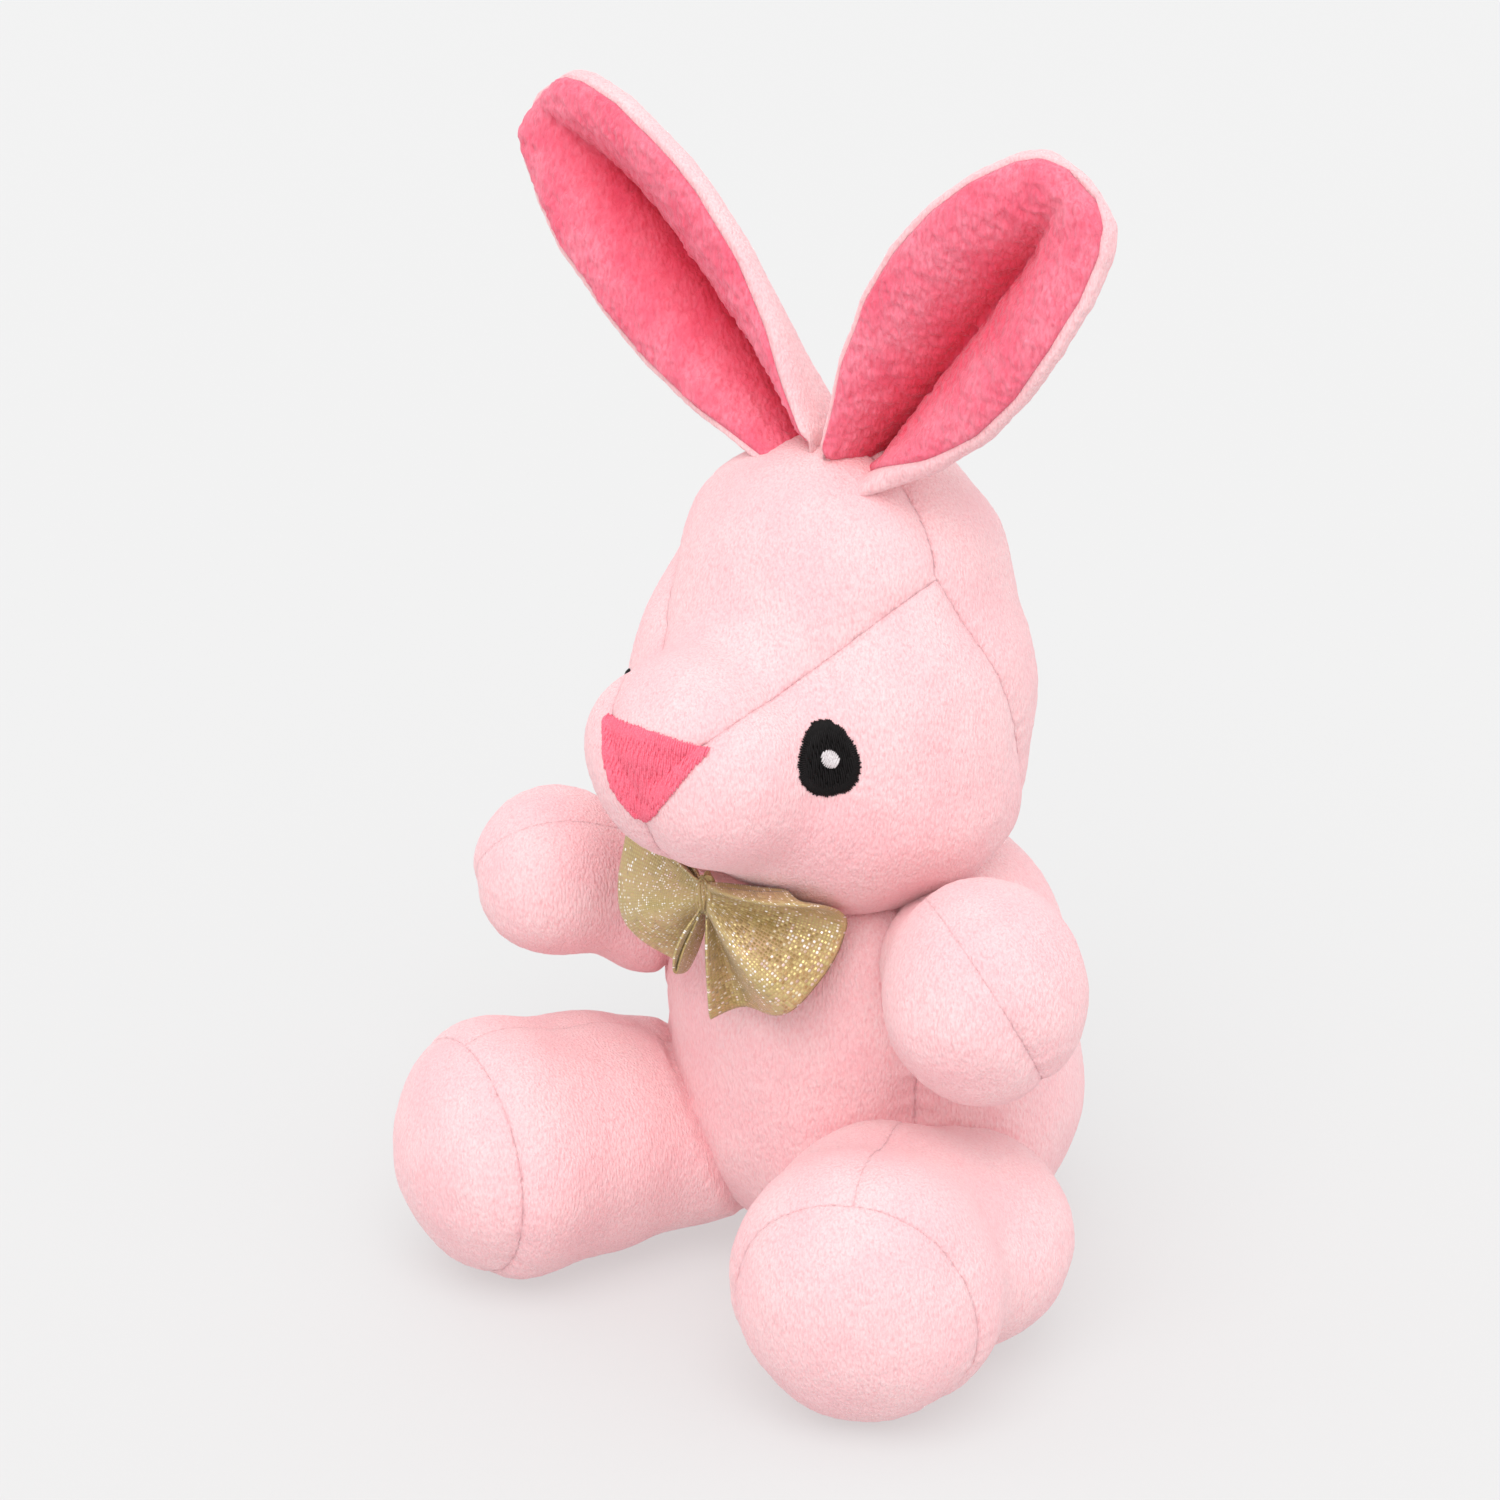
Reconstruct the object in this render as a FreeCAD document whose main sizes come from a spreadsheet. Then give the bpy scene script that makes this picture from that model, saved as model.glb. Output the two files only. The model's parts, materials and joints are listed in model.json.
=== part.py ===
import FreeCAD, Part
import Sketcher
import math
import os
import re

# A seated stuffed rabbit, about nine inches tall. Millimetres, +Z up, the rabbit faces -Y and its own
# left is +X. The origin is on the floor under the middle of the outline: the feet reach as far to the
# front as the tail does to the back.
#
# Every stuffed part is a "pod": a round root and a round tip joined by a straight flank. Its sewn cover
# is a shell of one pile-fabric thickness, cut into panels at the seams, with a filling inside.

doc = FreeCAD.newDocument("Rabbit")
sheet = doc.addObject("Spreadsheet::Sheet", "Sizes")

sizes = {
    # fabric
    "cover_wall": (1.5, "pile fabric thickness"),
    "fill_gap": 0.2,
    "joint_gap": (0.5, "free space around a limb's root over its whole swing"),
    # body
    "front_reach": (64, "floor origin to the front of the feet, and to the back of the tail"),
    "seat_radius": 41,
    "seat_height": (36, "centre of the seat ball, lower than its radius so the seat is flat"),
    "seat_back": (14, "how far the body's centre sits behind the origin"),
    "chest_radius": 33.5,
    "body_length": (23, "seat ball centre to chest ball centre"),
    "body_lean": (14, "degrees the body leans forward"),
    "shoulder_height": (81, "level of the neck opening in the body"),
    "belly_angle": (110, "degrees round the body covered by the belly panel"),
    "seat_panel_height": 6,
    # neck
    "neck_radius": 14,
    "neck_height": 84,
    "neck_back": 8,
    # head
    "jaw_radius": 37,
    "jaw_height": 121,
    "crown_radius": 31,
    "crown_rise": (14, "jaw ball centre to crown ball centre"),
    "head_back": 4,
    "neck_opening_height": 87,
    "snout_radius": 30,
    "snout_tip_radius": 18,
    "snout_length": (28, "root centre to tip centre"),
    "snout_ahead": (8, "snout root in front of the jaw ball's centre"),
    "snout_height": 112,
    "snout_rise": (4, "degrees the snout points upward"),
    "gusset_tip_half": (11, "half width of the forehead gusset at the nose"),
    "gusset_half_angle": 24,
    "gusset_height": (119, "lower edge of the forehead gusset at the nose"),
    "back_seam_ahead": (0, "seam between side and back head panels, ahead of the head's centre"),
    # face embroidery
    "thread_height": 0.8,
    "nose_width": 24,
    "nose_drop": 17.5,
    "nose_height": (126, "top edge of the nose"),
    "eye_width": 12,
    "eye_rise": (15, "height of the embroidered eye"),
    "eye_height": 119,
    "eye_turn": (41, "degrees from straight ahead to each eye"),
    "highlight_width": 4.2,
    # ears
    "ear_base_radius": 7,
    "ear_blade_radius": 18,
    "ear_tip_radius": 9,
    "ear_blade_at": (38, "root centre to the middle of the broadest part"),
    "ear_tip_at": (62, "root centre to the centre of the tip"),
    "ear_padding": 4,
    "ear_spread": (24, "degrees from the crown's top to each ear root"),
    "ear_gap": (1.2, "root end of the ear to the crown"),
    "ear_lean_left": (35, "degrees outward from upright"),
    "ear_lean_right": 48,
    # arms
    "arm_root_radius": 14.5,
    "arm_tip_radius": 16.5,
    "arm_length": (32, "root centre to tip centre"),
    "arm_out": 29,
    "arm_back": 4,
    "arm_height": 72.5,
    "arm_rise_left": (-3, "degrees above level"),
    "arm_rise_right": 3,
    "arm_forward_left": (40, "degrees forward from straight out"),
    "arm_forward_right": 52,
    "arm_seam_roll": (30, "degrees that the arm's seams are turned from upright"),
    "arm_swing_down": 6,
    "arm_swing_up": 18,
    # legs
    "leg_root_radius": 22,
    "foot_radius": 25,
    "leg_length": (50, "root centre to foot centre"),
    "leg_out": 24,
    "leg_turn_out": (25, "degrees outward from straight ahead"),
    "leg_root_height": 28,
    "leg_swing_down": 22,
    "leg_swing_up": 7,
    "sole_depth": (4, "foot centre to the middle of the sole's seam"),
    "sole_lean": (30, "degrees that the sole panel faces downward from the leg's axis"),
    # tail
    "tail_radius": 12,
    "tail_height": 24,
    # bow
    "bow_front": (35, "front of the bow ahead of the origin"),
    "bow_depth": 9,
    "bow_top": 88,
    "bow_reach": (25, "pinch centre to the end of a wing"),
    "bow_root_height": 9,
    "bow_end_height": 25,
    "pinch_width": 7,
    "pinch_height": 12,
    "tack_radius": 2,
}

for row, (alias, entry) in enumerate(sizes.items(), start=1):
    value, note = entry if isinstance(entry, tuple) else (entry, alias.replace("_", " "))
    sheet.set(f"A{row}", note)
    sheet.set(f"B{row}", str(value))
    sheet.setAlias(f"B{row}", alias)
doc.recompute()

# how far a cutting solid reaches past everything
far = 300


def size(alias):
    return float(sheet.get(alias))


def cell(formula):
    """Turns a formula of plain size names into an expression on the sheet."""
    return re.sub("[a-z_]+", lambda word: "Sizes." + word[0] if word[0] in sizes else word[0], formula)


def number(formula):
    return float(sheet.evalExpression(cell(formula)))


def bind(thing, **formulas):
    for name, formula in formulas.items():
        thing.setExpression(name, cell(formula))


def place(thing, position, rotation=FreeCAD.Rotation()):
    """Puts a thing at a position given as three formulas."""
    thing.Placement = FreeCAD.Placement(FreeCAD.Vector(0, 0, 0), rotation)
    for axis, formula in zip("xyz", position):
        thing.setExpression(f"Placement.Base.{axis}", cell(formula))
    return thing


def new_body(name, plane):
    """A body with one sketch on the named origin plane."""
    body = doc.addObject("PartDesign::Body", name)
    sketch = body.newObject("Sketcher::SketchObject", name + "_sketch")
    base = [item for item in body.Origin.OriginFeatures if item.Role == plane]
    sketch.AttachmentSupport = [(base[0], "")]
    sketch.MapMode = "FlatFace"
    return body, sketch


def name_size(sketch, constraint, label, formula):
    index = sketch.addConstraint(constraint)
    sketch.renameConstraint(index, label)
    sketch.setExpression(f"Constraints.{label}", cell(formula))


def pod_outline(sketch, label, root, tip, length):
    """Half outline of a pod: root arc about the origin, flank, tip arc further up the axis."""
    root_size, tip_size, reach = number(root), number(tip), number(length)
    lean = math.asin((root_size - tip_size) / reach)
    low = FreeCAD.Vector(root_size * math.cos(lean), root_size * math.sin(lean), 0)
    high = FreeCAD.Vector(tip_size * math.cos(lean), reach + tip_size * math.sin(lean), 0)
    up = FreeCAD.Vector(0, 0, 1)
    root_circle = Part.Circle(FreeCAD.Vector(0, 0, 0), up, root_size)
    tip_circle = Part.Circle(FreeCAD.Vector(0, reach, 0), up, tip_size)
    root_arc = sketch.addGeometry(Part.ArcOfCircle(root_circle, -math.pi / 2, lean))
    flank = sketch.addGeometry(Part.LineSegment(low, high))
    tip_arc = sketch.addGeometry(Part.ArcOfCircle(tip_circle, lean, math.pi / 2))
    origin, upright = (-1, 1), -2
    sketch.addConstraint(Sketcher.Constraint("Coincident", root_arc, 3, *origin))
    sketch.addConstraint(Sketcher.Constraint("PointOnObject", tip_arc, 3, upright))
    sketch.addConstraint(Sketcher.Constraint("PointOnObject", root_arc, 1, upright))
    sketch.addConstraint(Sketcher.Constraint("PointOnObject", tip_arc, 2, upright))
    sketch.addConstraint(Sketcher.Constraint("Tangent", root_arc, 2, flank, 1))
    sketch.addConstraint(Sketcher.Constraint("Tangent", flank, 2, tip_arc, 1))
    name_size(sketch, Sketcher.Constraint("Radius", root_arc, root_size), label + "_root", root)
    name_size(sketch, Sketcher.Constraint("Radius", tip_arc, tip_size), label + "_tip", tip)
    name_size(sketch, Sketcher.Constraint("DistanceY", *origin, tip_arc, 3, reach), label + "_length", length)
    return root_arc, tip_arc


def close_outline(sketch, first, first_end, second, second_end):
    """A straight line on the axis between two ends of arcs."""
    start = sketch.getPoint(first, first_end)
    stop = sketch.getPoint(second, second_end)
    line = sketch.addGeometry(Part.LineSegment(start, stop))
    sketch.addConstraint(Sketcher.Constraint("Coincident", line, 1, first, first_end))
    sketch.addConstraint(Sketcher.Constraint("Coincident", line, 2, second, second_end))


def revolve(body, sketch, angle=360, reverse=False):
    turned = body.newObject("PartDesign::Revolution", body.Name + "_turn")
    turned.Profile = sketch
    turned.ReferenceAxis = (sketch, ["V_Axis"])
    turned.Angle = angle
    turned.Reversed = reverse
    body.Tip = turned
    return body


def pod(name, root, tip, length, offset="0"):
    """A solid pod, larger than its named sizes by the offset."""
    body, sketch = new_body(name, "XZ_Plane")
    root_arc, tip_arc = pod_outline(sketch, "pod", f"{root} + {offset}", f"{tip} + {offset}", length)
    close_outline(sketch, tip_arc, 2, root_arc, 1)
    return revolve(body, sketch)


def pod_half_cover(name, root, tip, length, reverse):
    """Half of a pod's cover, on one side of its XZ plane."""
    body, sketch = new_body(name, "XZ_Plane")
    outer_root, outer_tip = pod_outline(sketch, "outer", root, tip, length)
    inner_root, inner_tip = pod_outline(sketch, "inner", f"{root} - cover_wall", f"{tip} - cover_wall", length)
    close_outline(sketch, outer_tip, 2, inner_tip, 2)
    close_outline(sketch, inner_root, 1, outer_root, 1)
    return revolve(body, sketch, 180, reverse)


def box(name, corner, length, width, height):
    block = doc.addObject("Part::Box", name)
    bind(block, Length=length, Width=width, Height=height)
    return place(block, corner)


def ball(name, centre, radius):
    sphere = doc.addObject("Part::Sphere", name)
    bind(sphere, Radius=radius)
    return place(sphere, centre)


def sector(name, centre, radius, height, angle, start):
    """An upright pie slice that begins at a compass angle counted from +X towards +Y."""
    slice_ = doc.addObject("Part::Cylinder", name)
    bind(slice_, Radius=radius, Height=height, Angle=angle)
    return place(slice_, centre, FreeCAD.Rotation(FreeCAD.Vector(0, 0, 1), start))


def combine(kind, name, base, tool):
    result = doc.addObject("Part::" + kind, name)
    result.Base = base
    result.Tool = tool
    return result


def cut_all(name, base, tools):
    for order, tool in enumerate(tools, start=1):
        base = combine("Cut", f"{name}_{order}", base, tool)
    return base


def direction(forward, rise, side):
    """Unit vector of a limb: degrees forward from straight out, degrees up, side +1 left or -1 right."""
    turn, lift = math.radians(forward), math.radians(rise)
    level = math.cos(lift)
    return FreeCAD.Vector(side * math.cos(turn) * level, -math.sin(turn) * level, math.sin(lift))


def along(axis, roll=0):
    """Rotation that lays a pod's own Z along an axis with its own XZ plane upright, then rolls it."""
    up = FreeCAD.Vector(0, 0, 1)
    side = up.cross(axis).normalize()
    upright = FreeCAD.Rotation(axis.cross(side) * -1, side * -1, axis, "ZYX")
    return upright.multiply(FreeCAD.Rotation(FreeCAD.Vector(0, 0, 1), roll))


def swing_space(name, radii, length, centre, axis, down, up):
    """The space that a limb needs over its swing: its root ball, and cones a few degrees apart."""
    hinge = axis.cross(FreeCAD.Vector(0, 0, 1)).normalize()
    root_radius, tip_radius = (number(f"{radius} + joint_gap") for radius in radii)
    # the cones are a little wider than the ball, so that their edges cross it cleanly
    wider = size("joint_gap") / 2
    steps = 5
    cones = []
    for step in range(steps):
        turn = FreeCAD.Rotation(hinge, -down + (down + up) * step / (steps - 1))
        cones.append(Part.makeCone(root_radius + wider, tip_radius + wider, length, centre, turn.multVec(axis)))
    space = doc.addObject("Part::Feature", name)
    space.Shape = Part.makeSphere(root_radius, centre).fuse(cones)
    return space


pieces = []


def piece(thing, name):
    thing.Label = name
    pieces.append(thing)
    return thing


sides = {"left": 1, "right": -1}

# ---------------------------------------------------------------- arms
arm_spaces = []
for side, sign in sides.items():
    root = (f"{sign} * arm_out", "arm_back", "arm_height")
    axis = direction(size(f"arm_forward_{side}"), size(f"arm_rise_{side}"), sign)
    for face, reverse in (("outer", sign > 0), ("inner", sign < 0)):
        cover = pod_half_cover(f"arm_{face}_{side}", "arm_root_radius", "arm_tip_radius", "arm_length", reverse)
        place(cover, root, along(axis, sign * size("arm_seam_roll")))
        piece(cover, f"arm_{face}_{side}")
    filling = pod(f"arm_filling_{side}", "arm_root_radius", "arm_tip_radius", "arm_length",
                  "(0 - cover_wall - fill_gap)")
    place(filling, root, along(axis))
    piece(filling, f"arm_stuffing_{side}")
    shoulder = FreeCAD.Vector(*[number(formula) for formula in root])
    radii = ("arm_root_radius", "arm_tip_radius")
    arm_spaces.append(swing_space(f"arm_swing_{side}", radii, size("arm_length"), shoulder, axis,
                                  size("arm_swing_down"), size("arm_swing_up")))

# ---------------------------------------------------------------- legs
leg_spaces = []
for side, sign in sides.items():
    # the foot rests on the floor and its front is at the front reach
    drop = math.degrees(math.asin((size("leg_root_height") - size("foot_radius")) / size("leg_length")))
    axis = direction(90 - size("leg_turn_out"), -drop, sign)
    foot_ahead = number("front_reach - foot_radius")
    root_back = foot_ahead + axis.y * size("leg_length")
    root = (f"{sign} * leg_out", str(-round(root_back, 4)), "leg_root_height")
    turned = along(axis)
    hip = FreeCAD.Vector(*[number(formula) for formula in root])
    cap = doc.addObject("Part::Cylinder", f"sole_space_{side}")
    bind(cap, Radius="2 * foot_radius", Height="3 * foot_radius")
    facing = direction(90 - size("leg_turn_out"), -drop - size("sole_lean"), sign)
    cap.Placement = FreeCAD.Placement(hip + axis * number("leg_length + sole_depth"), along(facing))
    halves = []
    for face, reverse in (("outer", sign > 0), ("inner", sign < 0)):
        cover = pod_half_cover(f"leg_{face}_whole_{side}", "leg_root_radius", "foot_radius", "leg_length", reverse)
        place(cover, root, turned)
        halves.append(cover)
        piece(combine("Cut", f"leg_{face}_{side}", cover, cap), f"leg_{face}_{side}")
    whole = combine("Fuse", f"leg_cover_{side}", *halves)
    piece(combine("Common", f"sole_{side}", whole, cap), f"foot_sole_{side}")
    filling = pod(f"leg_filling_{side}", "leg_root_radius", "foot_radius", "leg_length",
                  "(0 - cover_wall - fill_gap)")
    place(filling, root, turned)
    piece(filling, f"leg_stuffing_{side}")
    leg_spaces.append(swing_space(f"leg_swing_{side}", ("leg_root_radius", "foot_radius"), size("leg_length"),
                                  hip, axis, size("leg_swing_down"), size("leg_swing_up")))

# ---------------------------------------------------------------- neck
neck_centre = ("0", "neck_back", "neck_height")
piece(ball("neck", neck_centre, "neck_radius"), "neck_stuffing")
neck_space = ball("neck_space", neck_centre, "neck_radius + joint_gap")

# ---------------------------------------------------------------- torso
torso_root = ("0", "seat_back", "seat_height")


def torso(name, offset):
    """The body as one solid, larger by the offset, flat at the seat and at the neck opening."""
    pear = pod(name + "_pear", "seat_radius", "chest_radius", "body_length", offset)
    lean = FreeCAD.Rotation(FreeCAD.Vector(1, 0, 0), size("body_lean"))
    place(pear, torso_root, lean)
    band = box(name + "_band", (f"0 - {far}", f"0 - {far}", f"0 - {offset}"),
               str(2 * far), str(2 * far), f"shoulder_height + 2 * {offset}")
    return combine("Common", name, pear, band)


torso_outer = torso("torso_outer", "0")
torso_inner = torso("torso_inner", "(0 - cover_wall)")
torso_fill = torso("torso_fill", "(0 - cover_wall - fill_gap)")
torso_shell = combine("Cut", "torso_shell", torso_outer, torso_inner)
body_spaces = [neck_space, *arm_spaces, *leg_spaces]
torso_cover = cut_all("torso_cover", torso_shell, body_spaces)
piece(cut_all("torso_filling", torso_fill, body_spaces), "torso_stuffing")

foot_of_body = ("0", "seat_back", "0")
above_seat = ("0", "seat_back", "seat_panel_height")
seat_slab = sector("seat_slab", foot_of_body, str(far), "seat_panel_height", "360", 0)
piece(combine("Common", "seat", torso_cover, seat_slab), "seat_panel")
belly = size("belly_angle")
back_angle = "(360 - belly_angle) / 2"
panels = {
    "belly_panel": ("belly_angle", -90 - belly / 2),
    "back_panel_left": (back_angle, -90 + belly / 2),
    "back_panel_right": (back_angle, 90),
}
for name, (angle, start) in panels.items():
    wedge = sector(name + "_wedge", above_seat, str(far), str(far), angle, start)
    piece(combine("Common", name + "_cloth", torso_cover, wedge), name)

# ---------------------------------------------------------------- tail
tail_centre = ("0", "front_reach - tail_radius", "tail_height")
tail_ball = ball("tail_ball", tail_centre, "tail_radius")
tail_inner = ball("tail_inner", tail_centre, "tail_radius - cover_wall")
tail_fill = ball("tail_fill", tail_centre, "tail_radius - cover_wall - fill_gap")
tail_shell = combine("Cut", "tail_shell", tail_ball, tail_inner)
piece(combine("Cut", "tail", tail_shell, torso_outer), "tail_cover")
piece(combine("Cut", "tail_filling", tail_fill, torso_outer), "tail_stuffing")

# ---------------------------------------------------------------- head
jaw_centre = ("0", "head_back", "jaw_height")
snout_centre = ("0", "head_back - snout_ahead", "snout_height")
snout_axis = direction(90, size("snout_rise"), 1)


def head(name, offset):
    """The head as one solid, larger by the offset."""
    dome = place(pod(name + "_dome", "jaw_radius", "crown_radius", "crown_rise", offset), jaw_centre)
    snout = pod(name + "_snout", "snout_radius", "snout_tip_radius", "snout_length", offset)
    place(snout, snout_centre, along(snout_axis))
    return combine("Fuse", name, dome, snout)


head_outer = head("head_outer", "0")
head_inner = head("head_inner", "(0 - cover_wall)")
head_fill = head("head_fill", "(0 - cover_wall - fill_gap)")
head_base = box("head_base", (f"0 - {far}", f"0 - {far}", "0"), str(2 * far), str(2 * far),
                "neck_opening_height")
head_spaces = combine("Fuse", "head_spaces", neck_space, head_base)
head_shell = combine("Cut", "head_shell", head_outer, head_inner)
head_cover = combine("Cut", "head_cover", head_shell, head_spaces)
piece(combine("Cut", "head_filling", head_fill, head_spaces), "head_stuffing")

back_seam = "head_back - back_seam_ahead"
front_half = box("front_half", (f"0 - {far}", f"{back_seam} - {far}", "0"), str(2 * far), str(far), str(far))
left_half = box("left_half", ("0", f"0 - {far}", "0"), str(far), str(2 * far), str(far))
head_front = combine("Common", "head_front", head_cover, front_half)
head_rear = combine("Cut", "head_rear", head_cover, front_half)
# the gusset is a pie slice whose point lies ahead of the nose
nose_front = number("0 - head_back + snout_ahead + snout_length * cos(snout_rise) + snout_tip_radius")
slice_point = -nose_front - size("gusset_tip_half") / math.tan(math.radians(size("gusset_half_angle")))
gusset_slice = sector("gusset_slice", ("0", str(round(slice_point, 4)), "gusset_height"), str(far), str(far),
                      "2 * gusset_half_angle", 90 - size("gusset_half_angle"))
piece(combine("Common", "gusset", head_front, gusset_slice), "forehead_gusset")
head_flanks = combine("Cut", "head_flanks", head_front, gusset_slice)
piece(combine("Common", "flank_left", head_flanks, left_half), "head_side_left")
piece(combine("Cut", "flank_right", head_flanks, left_half), "head_side_right")
piece(combine("Common", "nape_left", head_rear, left_half), "head_back_left")
piece(combine("Cut", "nape_right", head_rear, left_half), "head_back_right")

# ---------------------------------------------------------------- face embroidery
stitched = combine("Cut", "stitched", head("head_stitched", "thread_height"), head_outer)
raised = combine("Cut", "raised", head("head_raised", "2 * thread_height"), doc.getObject("head_stitched"))

# the nose: a triangle with its point down, pushed back from in front of the snout
nose_body, nose_sketch = new_body("nose_prism", "XZ_Plane")
half, drop = number("nose_width / 2"), size("nose_drop")
corners = [FreeCAD.Vector(-half, 0, 0), FreeCAD.Vector(half, 0, 0), FreeCAD.Vector(0, -drop, 0)]
edges = []
for start, stop in zip(corners, corners[1:] + corners[:1]):
    edges.append(nose_sketch.addGeometry(Part.LineSegment(start, stop)))
for edge, following in zip(edges, edges[1:] + edges[:1]):
    nose_sketch.addConstraint(Sketcher.Constraint("Coincident", edge, 2, following, 1))
nose_sketch.addConstraint(Sketcher.Constraint("PointOnObject", edges[0], 1, -1))
nose_sketch.addConstraint(Sketcher.Constraint("Symmetric", edges[0], 1, edges[0], 2, -1, 1))
nose_sketch.addConstraint(Sketcher.Constraint("PointOnObject", edges[1], 2, -2))
nose_span = Sketcher.Constraint("DistanceX", edges[0], 1, edges[0], 2, 2 * half)
name_size(nose_sketch, nose_span, "width", "nose_width")
name_size(nose_sketch, Sketcher.Constraint("DistanceY", edges[1], 2, -1, 1, drop), "drop", "nose_drop")
nose_pad = nose_body.newObject("PartDesign::Pad", "nose_prism_pad")
nose_pad.Profile = nose_sketch
bind(nose_pad, Length="front_reach + snout_tip_radius")
nose_body.Tip = nose_pad
place(nose_body, ("0", "0", "nose_height"))
piece(combine("Common", "nose", stitched, nose_body), "nose_embroidery")


def eye_cutter(name, sign, width, height):
    """An oval rod that points out of the head through an eye."""
    rod = doc.addObject("Part::Cylinder", name + "_rod")
    bind(rod, Radius=f"{width} / 2", Height=str(far))
    outward = direction(90 - size("eye_turn"), 0, sign)
    stretched = doc.addObject("Part::Feature", name)
    doc.recompute()
    stretch = FreeCAD.Matrix()
    stretch.scale(number(f"{height} / {width}"), 1, 1)
    stretched.Shape = rod.Shape.transformGeometry(stretch)
    return place(stretched, ("0", "head_back", "eye_height"), along(outward))


for side, sign in sides.items():
    oval = eye_cutter(f"eye_rod_{side}", sign, "eye_width", "eye_rise")
    piece(combine("Common", f"eye_{side}_stitches", stitched, oval), f"eye_{side}")
    spot = eye_cutter(f"highlight_rod_{side}", sign, "highlight_width", "highlight_width")
    piece(combine("Common", f"highlight_{side}_stitches", raised, spot), f"eye_highlight_{side}")

# ---------------------------------------------------------------- ears


def ear_layer(name, thickness, low):
    """A leaf-shaped layer in the XZ plane: small root, broad blade, narrower tip."""
    body, sketch = new_body(name, "XZ_Plane")
    radii = ["ear_base_radius", "ear_blade_radius", "ear_tip_radius"]
    levels = ["0", "ear_blade_at", "ear_tip_at"]
    radius = [number(formula) for formula in radii]
    level = [number(formula) for formula in levels]
    lean_low = math.asin((radius[0] - radius[1]) / (level[1] - level[0]))
    lean_high = math.asin((radius[1] - radius[2]) / (level[2] - level[1]))
    turn = math.pi
    spans = [
        (0, turn - lean_low, 2 * turn + lean_low),
        (1, lean_low, lean_high),
        (2, lean_high, turn - lean_high),
        (1, turn - lean_high, turn - lean_low),
    ]
    arcs = []
    for index, start, stop in spans:
        circle = Part.Circle(FreeCAD.Vector(0, level[index], 0), FreeCAD.Vector(0, 0, 1), radius[index])
        arcs.append(sketch.addGeometry(Part.ArcOfCircle(circle, start, stop)))
    flanks = []
    for arc, following in zip(arcs, arcs[1:] + arcs[:1]):
        line = Part.LineSegment(sketch.getPoint(arc, 2), sketch.getPoint(following, 1))
        flanks.append(sketch.addGeometry(line))
    for arc, flank, following in zip(arcs, flanks, arcs[1:] + arcs[:1]):
        sketch.addConstraint(Sketcher.Constraint("Tangent", arc, 2, flank, 1))
        sketch.addConstraint(Sketcher.Constraint("Tangent", flank, 2, following, 1))
    sketch.addConstraint(Sketcher.Constraint("Coincident", arcs[0], 3, -1, 1))
    sketch.addConstraint(Sketcher.Constraint("Coincident", arcs[1], 3, arcs[3], 3))
    sketch.addConstraint(Sketcher.Constraint("Equal", arcs[1], arcs[3]))
    for arc, index in ((arcs[1], 1), (arcs[2], 2)):
        sketch.addConstraint(Sketcher.Constraint("PointOnObject", arc, 3, -2))
        centre_height = Sketcher.Constraint("DistanceY", -1, 1, arc, 3, level[index])
        name_size(sketch, centre_height, f"level_{index}", levels[index])
    for arc, index in zip(arcs[:3], range(3)):
        name_size(sketch, Sketcher.Constraint("Radius", arc, radius[index]), f"radius_{index}", radii[index])
    sketch.setExpression("AttachmentOffset.Base.z", cell(low))
    pad = body.newObject("PartDesign::Pad", name + "_pad")
    pad.Profile = sketch
    bind(pad, Length=thickness)
    body.Tip = pad
    return body


# the three layers of an ear, front to back, about its middle plane
ear_layers = {
    "ear_inner": ("cover_wall", "ear_padding / 2"),
    "ear_padding": ("ear_padding", "0 - ear_padding / 2"),
    "ear_outer": ("cover_wall", "0 - ear_padding / 2 - cover_wall"),
}
ear_root_reach = "crown_radius + ear_gap + ear_base_radius + cover_wall"
for side, sign in sides.items():
    root = (f"{sign} * ({ear_root_reach}) * sin(ear_spread)", "head_back",
            f"jaw_height + crown_rise + ({ear_root_reach}) * cos(ear_spread)")
    lean = FreeCAD.Rotation(FreeCAD.Vector(0, 1, 0), sign * size(f"ear_lean_{side}"))
    for layer, (thickness, low) in ear_layers.items():
        leaf = ear_layer(f"{layer}_{side}", thickness, low)
        place(leaf, root, lean)
        piece(leaf, f"{layer}_{side}")

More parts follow.
